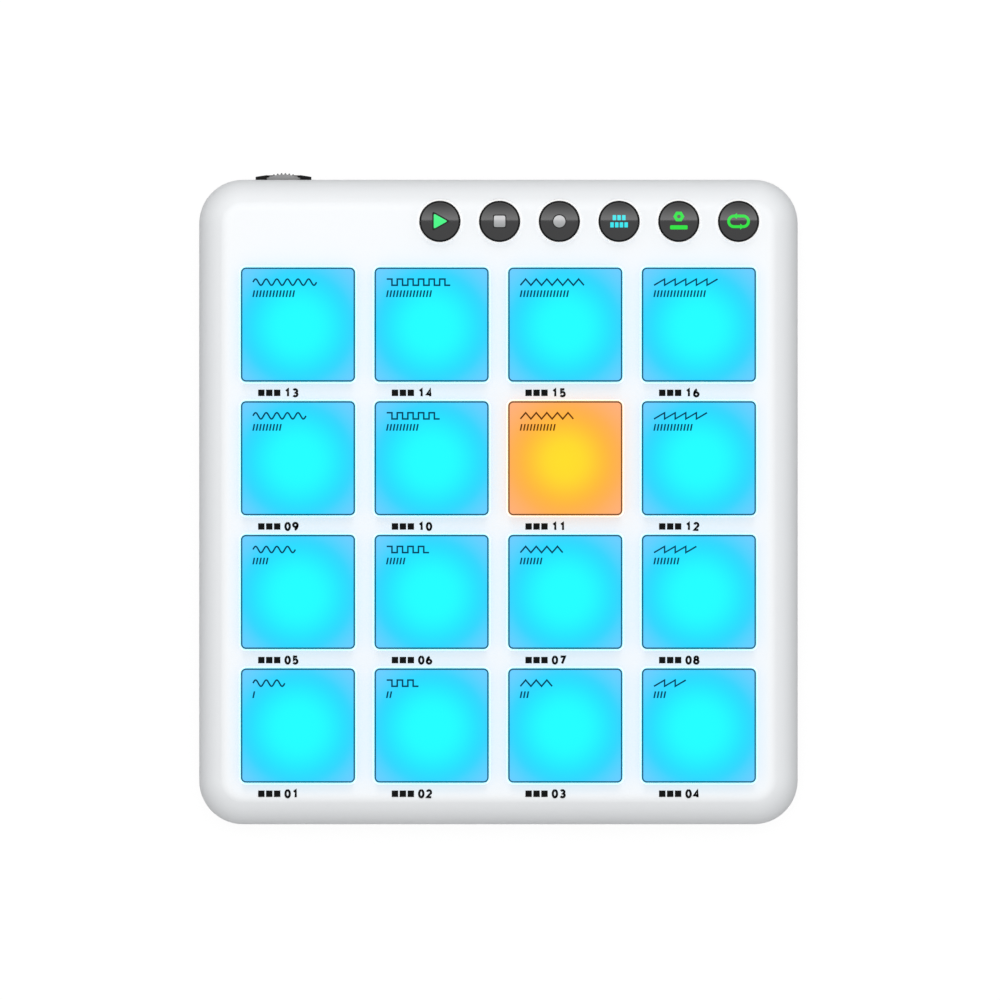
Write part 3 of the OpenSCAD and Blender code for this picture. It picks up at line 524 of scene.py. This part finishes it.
def lipPart(look, middle):
    # outer skin: a quarter circle of radius + lift about the edge's centre; inner skin: sunk below it
    bend = np.radians(np.linspace(90, 180, look["steps"] + 1))
    radii = np.concatenate([np.full(len(bend), look["radius"] + look["lift"]),
                            np.full(len(bend), look["radius"] - look["sink"])])
    angle = np.concatenate([bend, bend[::-1]])
    reach = look["window"] / 2 + look["radius"] + radii * np.cos(angle)
    heights = faceTop / mm - look["radius"] + radii * np.sin(angle)
    corners = look["corner"] + reach - look["window"] / 2
    return framePart(reach, corners, heights, middle, look["cornerSteps"])


def addLips(look):
    # one piece for the cyan windows, one for the orange one
    spots = {number: nodeMiddle(f"pad_{number}") for number in padNumbers}
    orange = [lipPart(look, spots.pop(orangePad))]
    cyan = [lipPart(look, spot) for spot in spots.values()]
    addPiece("windowLips", cyan, "lipPaintedCyan", "housing")
    addPiece("windowLipOrange", orange, "lipPaintedOrange", "housing")


addLips(lipShape)
print("window lips made")


# Flat strokes for the marks and the numbers
strokeLimits = {"shortest": 1e-6, "leastCosine": 0.55}


def slabPart(outlines, low, high):
    # upright prisms of quadrilateral outlines, given as an array (count, 4, 2), counter-clockwise
    count = len(outlines)
    levels = [np.concatenate([outlines, np.full((count, 4, 1), z)], -1) for z in (low, high)]
    prisms = np.stack(levels, 1)
    first = np.arange(count)[:, None] * 8
    step = np.arange(4)
    beside = (step + 1) % 4
    sides = np.stack([step, beside, beside + 4, step + 4], -1)[None] + first[..., None]
    lids = np.array([[3, 2, 1, 0], [4, 5, 6, 7]])[None] + first[..., None]
    return prisms.reshape(-1, 3) * mm, [sides.reshape(-1, 4), lids.reshape(-1, 4)]


def ribbonPart(line, half, low, high):
    # strip along a line: both sides lie half a width away, along the normal between two steps and
    # longer at a bend by one over the cosine of half its angle
    step = np.diff(line, axis=0)
    step = step / np.linalg.norm(step, axis=1)[:, None]
    along = np.concatenate([step[:1], step]) + np.concatenate([step, step[-1:]])
    along = along / np.maximum(np.linalg.norm(along, axis=1), strokeLimits["shortest"])[:, None]
    across = np.stack([-along[:, 1], along[:, 0]], -1)
    cosine = (along * np.concatenate([step, step[-1:]])).sum(axis=1)
    bend = np.clip(cosine, strokeLimits["leastCosine"], 1)
    reach = across * (half / bend)[:, None]
    left, right = line + reach, line - reach
    up, down = np.full((len(line), 1), high), np.full((len(line), 1), low)
    corners = ((left, up), (right, up), (right, down), (left, down))
    rows = np.stack([np.concatenate(corner, -1) for corner in corners], 1)
    last = 4 * (len(line) - 1)
    ends = np.array([[3, 2, 1, 0], [last, last + 1, last + 2, last + 3]])
    return rows.reshape(-1, 3) * mm, [gridFaces(len(line), 4), ends]


def arcLine(middle, radii, start, end, count=14):
    # part of an ellipse: middle + (rx cos a, ry sin a)
    angle = np.radians(np.linspace(start, end, count))
    return np.stack([middle[0] + radii[0] * np.cos(angle), middle[1] + radii[1] * np.sin(angle)], -1)


# Marks on each pad: a plain wave, and under it as many slanted ticks as the pad's number
markShape = {"left": 2.3, "waveDown": 2.85, "ticksDown": 5.35, "wave": 1.35, "cycle": 2.3, "cycles": 3,
             "cyclePoints": 20, "line": 0.34, "tick": 1.45, "tickPitch": 0.72, "tickWide": 0.34,
             "slant": 0.2, "thick": 0.02}


def waveLine(kind, cycles, length, tall):
    # sine: sin(2 pi x); square: +1 and -1 by halves; triangle: peaks by turns; saw: a ramp and a drop
    half = np.arange(2 * cycles)
    if kind == 0:
        x = np.linspace(0, 1, markShape["cyclePoints"] * cycles + 1)
        y = np.sin(2 * math.pi * cycles * x)
    elif kind == 1:
        x = np.stack([half, half + 1], -1).ravel() / (2 * cycles)
        y = np.repeat(np.where(half % 2, -1.0, 1.0), 2)
    elif kind == 2:
        x = np.arange(2 * cycles + 1) / (2 * cycles)
        y = np.where(np.arange(2 * cycles + 1) % 2, 1.0, -1.0)
    else:
        whole = np.arange(cycles)
        x = np.stack([whole, whole + 1], -1).ravel() / cycles
        y = np.tile([-1.0, 1.0], cycles)
    return np.stack([x * length, y * tall / 2], -1)


def tickRow(look, count):
    # parallelograms, each leaning right by slant times its height
    left = np.arange(count) * look["tickPitch"]
    right = left + look["tickWide"]
    lean = look["slant"] * look["tick"] / 2
    foot, head = np.full(count, -look["tick"] / 2), np.full(count, look["tick"] / 2)
    corners = ((left - lean, foot), (right - lean, foot), (right + lean, head), (left + lean, head))
    return np.stack([np.stack(corner, -1) for corner in corners], 1)


def addMarks(number):
    # each column of pads has its own wave, with one more cycle in each row
    node = f"pad_{number}"
    half = padShape["side"] / 2
    corner = nodeMiddle(node) + [markShape["left"] - half, half]
    row, kind = divmod(number - 1, padsInRow)
    cycles = markShape["cycles"] + row
    wave = waveLine(kind, cycles, cycles * markShape["cycle"], markShape["wave"])
    top = nodeTop(node) - padShape["lower"]
    under, over = top - padShape["crown"] - markShape["thick"], top + markShape["thick"]
    parts = [ribbonPart(wave + corner - [0, markShape["waveDown"]], markShape["line"] / 2, under, over),
             slabPart(tickRow(markShape, number) + corner - [0, markShape["ticksDown"]], under, over)]
    finish = "printBrown" if number == orangePad else "printTeal"
    return addPiece(f"padMarks{number}", parts, finish, node)


for number in padNumbers:
    addMarks(number)
print("pad marks made")


# Numbers on the face under each pad, two digits each, with a row of small squares before them
labelShape = {"tall": 2.0, "line": 0.5, "digitWide": 1.42, "digitGap": 0.26, "digitsFrom": 5.7,
              "squares": 3, "square": 1.4, "squareStep": 1.72, "left": -8.65, "below": 2.4,
              "thick": 0.015}
# strokes in a square of side 1, y up; the lower half of 6 is a loop, and 9 is 6 turned round
loop = arcLine((0.5, 0.5), (0.5, 0.5), 90, 450, 28)
bowl = np.concatenate([arcLine((0.9, 0.28), (0.9, 0.72), 105, 180, 10),
                       arcLine((0.5, 0.28), (0.5, 0.28), 180, 540, 24)[1:]])
digitLines = {
    "0": [loop],
    "1": [np.array([(0.12, 0.76), (0.58, 1.0), (0.58, 0.0)])],
    "2": [np.concatenate([arcLine((0.5, 0.7), (0.46, 0.3), 165, -30), [(0.02, 0.0), (1.0, 0.0)]])],
    "3": [np.concatenate([arcLine((0.45, 0.76), (0.45, 0.24), 150, -75),
                          arcLine((0.45, 0.27), (0.5, 0.27), 75, -150)])],
    "4": [np.array([(0.76, 0.0), (0.76, 1.0), (0.0, 0.28), (1.05, 0.28)])],
    "5": [np.concatenate([[(0.92, 1.0), (0.16, 1.0), (0.1, 0.52)],
                          arcLine((0.46, 0.31), (0.5, 0.31), 125, -150)])],
    "6": [bowl],
    "7": [np.array([(0.0, 1.0), (1.0, 1.0), (0.36, 0.0)])],
    "8": [arcLine((0.5, 0.77), (0.4, 0.23), 90, 450, 24),
          arcLine((0.5, 0.27), (0.5, 0.27), 90, 450, 24)],
    "9": [1.0 - bowl],
}


def boxCorners(wide, tall):
    # rectangle of half sides wide and tall about the origin
    return np.array([(wide, tall), (-wide, tall), (-wide, -tall), (wide, -tall)])


def addLabels(look):
    # squares and digits from left to right under each window; digits are strokes of even width
    parts = []
    low, high = faceTop / mm - look["thick"], faceTop / mm + look["thick"]
    scale = np.array([look["digitWide"] - look["line"], look["tall"] - look["line"]])
    half, halfLine = look["square"] / 2, look["line"] / 2
    square = boxCorners(half, half)[None]
    for number in padNumbers:
        spot = nodeMiddle(f"pad_{number}") + [look["left"], -lipShape["window"] / 2 - look["below"]]
        parts += [slabPart(square + spot + [half + k * look["squareStep"], 0], low, high)
                  for k in range(look["squares"])]
        for place, digit in enumerate(f"{number:02d}"):
            left = look["digitsFrom"] + place * (look["digitWide"] + look["digitGap"])
            start = spot + [left + halfLine, -scale[1] / 2]
            parts += [ribbonPart(line * scale + start, halfLine, low, high) for line in digitLines[digit]]
    return addPiece("padNumbers", parts, "printBlack", "housing")


addLabels(labelShape)
print("labels made")


# Keys: a crowned cap with a rounded rim, turned about its own axis
keyShape = {"crown": 26.0, "radius": 4.12, "rim": 0.1, "lower": 0.03, "flangeRadius": 5.2,
            "flangeTall": 0.8, "turns": 96, "rimSteps": 8, "crownRings": 20,
            "bandFrom": 4.0, "bandTo": 4.3, "bandDown": 0.06, "bandTall": 1.6, "bandEdge": 0.1,
            "underside": 0.5, "pole": 0.06}


def turnedRings(radii, heights, middle, turns):
    # surface of revolution: (r cos a, r sin a, z), one row per profile point
    angle = np.linspace(0, 2 * math.pi, turns, endpoint=False)
    rings = np.stack([radii[:, None] * np.cos(angle) + middle[0],
                      radii[:, None] * np.sin(angle) + middle[1],
                      np.broadcast_to(heights[:, None], (len(radii), turns))], -1)
    return rings * mm


def crownHeight(radius, top, crown):
    # sag of a sphere of radius crown below its top
    return top - crown + np.sqrt(crown ** 2 - radius ** 2)


def keyPart(look, middle, low, top):
    # profile: lower face, flange, side, rim radius times (cos, sin), and the crown in to its pole
    inside = look["radius"] - look["rim"]
    bend = np.radians(np.linspace(0, 90, look["rimSteps"] + 1))
    rimTop = crownHeight(inside, top, look["crown"])
    crownRadii = np.linspace(inside, look["pole"], look["crownRings"])[1:]
    radii = np.concatenate([[look["underside"], look["flangeRadius"], look["flangeRadius"], look["radius"]],
                            inside + look["rim"] * np.cos(bend), crownRadii])
    flangeTop = low + look["flangeTall"]
    heights = np.concatenate([[low, low, flangeTop, flangeTop],
                              rimTop - look["rim"] + look["rim"] * np.sin(bend),
                              crownHeight(crownRadii, top, look["crown"])])
    return closeRings(turnedRings(radii, heights, middle, look["turns"]))


def bandPart(look, middle, top):
    # matt band round the cap: upright outside, a small bevel, flat on top just below the crown
    level = crownHeight(look["radius"], top, look["crown"]) - look["bandDown"]
    edge, low = look["bandEdge"], level - look["bandTall"]
    inner, outer = look["bandFrom"], look["bandTo"]
    radii = np.array([inner, outer, outer, outer - edge, inner])
    heights = np.array([low, low, level - edge, level, level])
    return joinRings(turnedRings(radii, heights, middle, look["turns"]))


def addKey(key):
    # a band and a cap on the place of the key's node
    node = f"{key}_button"
    middle, top = nodeMiddle(node), nodeTop(node) - keyShape["lower"]
    band = bandPart(keyShape, middle, top)
    addPiece(f"{key}Band", [band], "rimBlack", f"{key}_key")
    part = keyPart(keyShape, middle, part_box(node)[0].z / mm, top)
    return addPiece(f"{key}Cap", [part], "keyBlack", f"{key}_key", [node])


for key in keyNames:
    addKey(key)
print("keys made:", len(keyNames))


# Rings round the keys: a flat bead over each moulded ring, painted whiter than the moulding and given a
# faint glow, a painted highlight
ringShape = {"inner": 4.49, "outer": 4.9, "flat": 0.29, "lift": 0.012, "sink": 0.15, "turns": 128}


def ringPart(look, middle):
    # turned about the key's axis; the profile rises at the bore, runs flat and slopes to the face
    low, top = faceTop / mm - look["sink"], (faceTop + ringHeight) / mm + look["lift"]
    radii = np.array([look["inner"], look["outer"], look["inner"] + look["flat"], look["inner"]])
    heights = np.array([low, low, top, top])
    return joinRings(turnedRings(radii, heights, middle, look["turns"]))


def addRings(look):
    # one ring round each key, all in one piece
    parts = [ringPart(look, nodeMiddle(f"{key}_button")) for key in keyNames]
    return addPiece("keyRings", parts, "ringPaintedHighlight", "housing")


addRings(ringShape)
print("key rings made")


# Symbols in the keys: flat outlines laid on the crown
symbolShape = {"lift": 0.012, "seatLift": 0.006, "sink": 0.05, "rows": 5, "points": 96,
               "arcPoints": 24, "pole": 0.02}


def polygonOutline(corners, count, soften=0):
    # points spaced evenly along a closed polygon, then averaged with their neighbours to round it
    corners = np.asarray(corners, float)
    closed = np.concatenate([corners, corners[:1]])
    length = np.concatenate([[0], np.cumsum(np.linalg.norm(np.diff(closed, axis=0), axis=1))])
    where = np.linspace(0, length[-1], count, endpoint=False)
    outline = np.stack([np.interp(where, length, closed[:, k]) for k in (0, 1)], -1)
    for _ in range(soften):
        outline = (np.roll(outline, 1, axis=0) + 2 * outline + np.roll(outline, -1, axis=0)) / 4
    return outline


def circleOutline(radius, count, sides=0):
    # circle, or a polygon of that many sides with the circle's angles
    angle = np.linspace(0, 2 * math.pi, count, endpoint=False)
    reach = radius
    if sides:
        part = math.pi / sides
        reach = radius * math.cos(part) / np.cos((angle % (2 * part)) - part)
    return np.stack([reach * np.cos(angle), reach * np.sin(angle)], -1)


def symbolRings(inner, outer, middle, top, lift):
    # section sunk in the cap from the inner to the outer outline, then back over the crown
    share = np.concatenate([[0, 1], np.linspace(1, 0, symbolShape["rows"])])
    rise = np.full(len(share), lift)
    rise[:2] = -symbolShape["sink"]
    flat = inner[None] + (outer - inner)[None] * share[:, None, None]
    height = crownHeight(np.linalg.norm(flat, axis=-1), top, keyShape["crown"]) + rise[:, None]
    return np.concatenate([flat + middle, height[..., None]], -1) * mm


def filledSymbol(outline, middle, top, lift=symbolShape["lift"]):
    # rings shrink from the outline to a pole in its middle
    centre = outline.mean(axis=0)
    pole = centre + (outline - centre) * symbolShape["pole"]
    return closeRings(symbolRings(pole, outline, middle, top, lift))


def stripSymbol(inner, outer, middle, top):
    # the section carried along an open line, with a face over each end
    rings = symbolRings(inner, outer, middle, top, symbolShape["lift"])
    rows, columns = rings.shape[:2]
    start = np.arange(rows) * columns
    ends = np.stack([start, start[::-1] + columns - 1])
    return rings.reshape(-1, 3), [gridFaces(rows + 1, columns, False) % (rows * columns), ends]


def loopArrow(look, side):
    # half of a stadium path as a strip, with an arrow head at its end; side turns it by half a turn
    run, bend, half = look["run"], look["bend"], look["line"] / 2
    angle = np.radians(np.linspace(90, 270, symbolShape["arcPoints"]))
    arc = np.stack([-run / 2 + bend * np.cos(angle), bend * np.sin(angle)], -1)
    middleLine = np.concatenate([[[look["start"], bend]], arc, [[look["end"], -bend]]])
    along = np.gradient(middleLine, axis=0)
    along /= np.linalg.norm(along, axis=1)[:, None]
    across = np.stack([-along[:, 1], along[:, 0]], -1)
    back, wide = look["end"] - look["headBack"], look["head"] * look["headWide"]
    head = np.array([[look["end"] + look["head"], -bend], [back, wide - bend], [back, -wide - bend]])
    return side * (middleLine + half * across), side * (middleLine - half * across), side * head


# seat: how far the painted shadow round a plain symbol reaches, as a scale of its outline
keySymbols = {
    "play": {"finish": "symbolGreen", "corners": [(1.68, 0.04), (-1.34, 1.72), (-1.34, -1.64)],
             "soften": 14, "seat": 1.3},
    "stop": {"finish": "symbolGrey", "half": 1.24, "soften": 12, "seat": 1.18},
    "record": {"finish": "symbolGrey", "radius": 1.31, "seat": 1.17},
    "bank": {"finish": "symbolCyan", "cell": (0.38, 0.56), "pitch": 1.02,
             "rows": ((3, 0.8), (4, -0.76)), "soften": 4},
    "shift": {"finish": "symbolLeaf", "nut": 1.2, "sides": 6, "hole": 0.4, "nutUp": 1.05,
              "bar": (1.9, 0.45), "barDown": 1.3, "soften": 6},
    "repeat": {"finish": "symbolLeaf", "run": 2.0, "bend": 1.15, "line": 0.62, "start": 0.55,
               "end": 0.45, "head": 0.85, "headBack": 0.1, "headWide": 0.75, "soften": 2},
}


def plainOutline(key, look):
    # play: triangle; stop: square; record: circle
    count = symbolShape["points"]
    if key == "play":
        return polygonOutline(look["corners"], count, look["soften"])
    if key == "stop":
        return polygonOutline(boxCorners(look["half"], look["half"]), count, look["soften"])
    return circleOutline(look["radius"], count)


def symbolParts(key, look, middle, top):
    # bank: rows of blocks; shift: a nut over a bar; repeat: two arrows that chase each other
    count = symbolShape["points"]
    if "seat" in look:
        return [filledSymbol(plainOutline(key, look), middle, top)]
    if key == "bank":
        box = polygonOutline(boxCorners(*look["cell"]), count, look["soften"])
        return [filledSymbol(box + [(k - (number - 1) / 2) * look["pitch"], y], middle, top)
                for number, y in look["rows"] for k in range(number)]
    if key == "shift":
        bar = polygonOutline(boxCorners(*look["bar"]), count, look["soften"])
        hole = circleOutline(look["hole"], count) + [0, look["nutUp"]]
        nut = circleOutline(look["nut"], count, look["sides"]) + [0, look["nutUp"]]
        return [joinRings(symbolRings(hole, nut, middle, top, symbolShape["lift"])),
                filledSymbol(bar - [0, look["barDown"]], middle, top)]
    parts = []
    for side in (1, -1):
        inner, outer, head = loopArrow(look, side)
        parts.append(stripSymbol(inner, outer, middle, top))
        parts.append(filledSymbol(polygonOutline(head, count, look["soften"]), middle, top))
    return parts


def addSymbol(key, look):
    # a plain symbol has a dark seat round it, a painted shadow: its outline, enlarged about its middle
    node = f"{key}_button"
    middle, top = nodeMiddle(node), nodeTop(node) - keyShape["lower"]
    if "seat" in look:
        outline = plainOutline(key, look)
        wider = outline.mean(axis=0) + (outline - outline.mean(axis=0)) * look["seat"]
        seat = filledSymbol(wider, middle, top, symbolShape["seatLift"])
        addPiece(f"{key}PaintedShadow", [seat], "seatBlack", f"{key}_key")
    parts = symbolParts(key, look, middle, top)
    return addPiece(f"{key}Symbol", parts, look["finish"], f"{key}_key")


for key, look in keySymbols.items():
    addSymbol(key, look)
print("symbols made:", len(keySymbols))


# Screw heads in the base: a domed disc with a cross recess, seen from below
headShape = {"radius": 1.75, "low": 2.72, "seat": 4.0, "dome": 0.22, "recess": 0.7, "arm": 0.26,
             "reach": 1.05, "slope": 0.16, "rings": 44, "turns": 120, "pole": 0.01, "shank": 1.0,
             "tip": 16.0, "cone": 0.6, "point": 0.3}


def headPart(look, middle):
    # lower face: z = low + dome times (r / R) squared, raised inside the cross by the recess; the
    # cross is the larger of two bars, each falling off over the slope
    shares = np.append(np.linspace(look["pole"], 1, look["rings"]), 1.0)
    radius = shares * look["radius"]
    angle = np.linspace(0, 2 * math.pi, look["turns"], endpoint=False)
    x, y = radius[:, None] * np.cos(angle), radius[:, None] * np.sin(angle)
    bars = [np.minimum(look["arm"] - np.abs(a), look["reach"] - np.abs(b)) for a, b in ((x, y), (y, x))]
    sunk = np.clip(np.maximum(*bars) / look["slope"] + 0.5, 0, 1) * look["recess"]
    z = look["low"] + look["dome"] * shares[:, None] ** 2 + sunk
    z[-1] = look["seat"]
    rings = np.stack([x + middle[0], y + middle[1], z], -1) * mm
    shankRadii = np.array([look["shank"], look["shank"], look["point"]])
    shankHeights = np.array([look["seat"], look["tip"] - look["cone"], look["tip"]])
    shank = turnedRings(shankRadii, shankHeights, middle, look["turns"])
    return closeRings(np.concatenate([rings, shank]))


def addScrewHeads(look):
    # three screws along each side; the node's box ends at the heads' outer edges
    low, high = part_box("case_screws")
    side, front, rear = [value / mm for value in (high.x, low.y, high.y)]
    inset = look["radius"]
    spots = [(x * (side - inset), y) for x in (-1, 1)
             for y in (front + inset, (front + rear) / 2, rear - inset)]
    parts = [headPart(look, spot) for spot in spots]
    return addPiece("crossScrews", parts, "screwSteel", "housing", ["case_screws"])


addScrewHeads(headShape)
print("screw heads made")


# Gold contacts on both faces of the socket's tongue
contactShape = {"count": 12, "pitch": 0.5, "wide": 0.26, "long": 3.0, "tipGap": 0.35, "thick": 0.02,
                "blade": 0.7}


def addContacts(look):
    # a row of strips on each face, centred on the tongue and ending short of its tip
    low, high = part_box("usb_tongue")
    tip, level = high.y / mm - look["tipGap"], (low.z + high.z) / 2 / mm
    places = np.arange(look["count"]) - (look["count"] - 1) / 2
    x = nodeMiddle("usb_tongue")[0] + places * look["pitch"]
    left, right = x - look["wide"] / 2, x + look["wide"] / 2
    back, front = np.full(look["count"], tip - look["long"]), np.full(look["count"], tip)
    corners = ((left, back), (right, back), (right, front), (left, front))
    outlines = np.stack([np.stack(corner, -1) for corner in corners], 1)
    half = look["blade"] / 2
    parts = [slabPart(outlines, level + half - look["thick"], level + half + look["thick"]),
             slabPart(outlines, level - half - look["thick"], level - half + look["thick"])]
    return addPiece("socketContacts", parts, "contactGold", "housing")


addContacts(contactShape)
print("contacts made")


# Floor, lamps and world
stageLook = {"floorSide": 8.0, "floorSeen": 0.1, "floorLight": 0.92, "floorBounce": 0.04,
             "sky": 0.8, "skySeen": 1.0}
overheadLamp = {"size": 1.4, "power": 4.2, "distance": 1.6, "tilt": 9.0}
rearLamp = {"size": 0.5, "power": 2.9, "distance": 1.5, "tilt": 55.0}
glossPanel = {"wide": 1.1, "deep": 0.33, "middleX": 0.02, "height": 1.22, "power": 3.6,
              "edgeShift": 0.024}


def seenByEye(tree):
    # 1 for rays from the camera, a mirror or a clear piece, 0 for rays that only carry light
    path = addNode(tree, "ShaderNodeLightPath")
    first = addNode(tree, "ShaderNodeMath", operation="MAXIMUM")
    second = addNode(tree, "ShaderNodeMath", operation="MAXIMUM")
    tree.links.new(path.outputs["Is Camera Ray"], first.inputs[0])
    tree.links.new(path.outputs["Is Glossy Ray"], first.inputs[1])
    tree.links.new(first.outputs["Value"], second.inputs[0])
    tree.links.new(path.outputs["Is Transmission Ray"], second.inputs[1])
    return second.outputs["Value"]


def addFloor(look):
    # square on the table's plane: pale to the eye, dark to light that bounces up from it
    half = look["floorSide"] / 2
    mesh = bpy.data.meshes.new("floor")
    corners = [(-half, -half, 0), (half, -half, 0), (half, half, 0), (-half, half, 0)]
    mesh.from_pydata(corners, [], [(0, 1, 2, 3)])
    floor = bpy.data.objects.new("floor", mesh)
    scene.collection.objects.link(floor)
    material = bpy.data.materials.new("floorWhite")
    material.use_nodes = True
    tree = material.node_tree
    tree.nodes.remove(tree.nodes["Principled BSDF"])
    grey = addNode(tree, "ShaderNodeBsdfDiffuse", {"Color": (look["floorBounce"],) * 3 + (1.0,)})
    pale = addNode(tree, "ShaderNodeBsdfDiffuse", {"Color": (look["floorSeen"],) * 3 + (1.0,)})
    light = addNode(tree, "ShaderNodeEmission", {"Strength": look["floorLight"]})
    both = addNode(tree, "ShaderNodeAddShader")
    pick = addNode(tree, "ShaderNodeMixShader")
    tree.links.new(pale.outputs["BSDF"], both.inputs[0])
    tree.links.new(light.outputs["Emission"], both.inputs[1])
    tree.links.new(seenByEye(tree), pick.inputs["Fac"])
    tree.links.new(grey.outputs["BSDF"], pick.inputs[1])
    tree.links.new(both.outputs["Shader"], pick.inputs[2])
    tree.links.new(pick.outputs["Shader"], tree.nodes["Material Output"].inputs["Surface"])
    mesh.materials.append(material)


def addWorld(look):
    # even sky that lights the part, plain white where it is seen
    world = bpy.data.worlds.new("studio")
    scene.world = world
    world.use_nodes = True
    tree = world.node_tree
    sky = tree.nodes["Background"]
    sky.inputs["Strength"].default_value = look["sky"]
    sky.inputs["Color"].default_value = (1, 1, 1, 1)
    white = addNode(tree, "ShaderNodeBackground", {
        "Color": (1, 1, 1, 1), "Strength": look["skySeen"]})
    pick = addNode(tree, "ShaderNodeMixShader")
    tree.links.new(seenByEye(tree), pick.inputs["Fac"])
    tree.links.new(sky.outputs["Background"], pick.inputs[1])
    tree.links.new(white.outputs["Background"], pick.inputs[2])
    tree.links.new(pick.outputs["Shader"], tree.nodes["World Output"].inputs["Surface"])


def addLamp(name, look):
    # square lamp that faces the middle of the table, tilted towards the rear
    tilt = math.radians(look["tilt"])
    data = bpy.data.lights.new(name, "AREA")
    data.shape = "SQUARE"
    data.size = look["size"]
    data.energy = look["power"]
    lamp = bpy.data.objects.new(name, data)
    lamp.location = (0, look["distance"] * math.sin(tilt), look["distance"] * math.cos(tilt))
    lamp.rotation_euler = (-tilt, 0, 0)
    lamp.visible_camera = False
    lamp.visible_glossy = False
    scene.collection.objects.link(lamp)


def addGlossPanel(look):
    # panel over the rear edge; its near edge lies where the middle of a key mirrors the camera to,
    # plus the shift; it fades to nothing at its rear edge
    keyY = nodeMiddle("play_button")[1] * mm
    slope = (keyY - camera.location.y) / (camera.location.z - faceTop)
    nearEdge = keyY + look["edgeShift"] + look["height"] * slope
    data = bpy.data.lights.new("glossPanel", "AREA")
    data.shape = "RECTANGLE"
    data.size = look["wide"]
    data.size_y = look["deep"]
    data.energy = look["power"]
    panel = bpy.data.objects.new("glossPanel", data)
    panel.location = (look["middleX"], nearEdge + look["deep"] / 2, look["height"])
    panel.visible_camera = False
    scene.collection.objects.link(panel)
    data.use_nodes = True
    tree = data.node_tree
    place = addNode(tree, "ShaderNodeNewGeometry")
    split = addNode(tree, "ShaderNodeSeparateXYZ")
    fade = addNode(tree, "ShaderNodeMapRange", {
        "From Min": 0.0, "From Max": 1.0, "To Min": 1.0, "To Max": 0.0})
    tree.links.new(place.outputs["Parametric"], split.inputs["Vector"])
    tree.links.new(split.outputs["Y"], fade.inputs["Value"])
    tree.links.new(fade.outputs["Result"], tree.nodes["Emission"].inputs["Strength"])


addFloor(stageLook)
addWorld(stageLook)
addLamp("overheadLamp", overheadLamp)
addLamp("rearLamp", rearLamp)
addGlossPanel(glossPanel)
print("stage set")
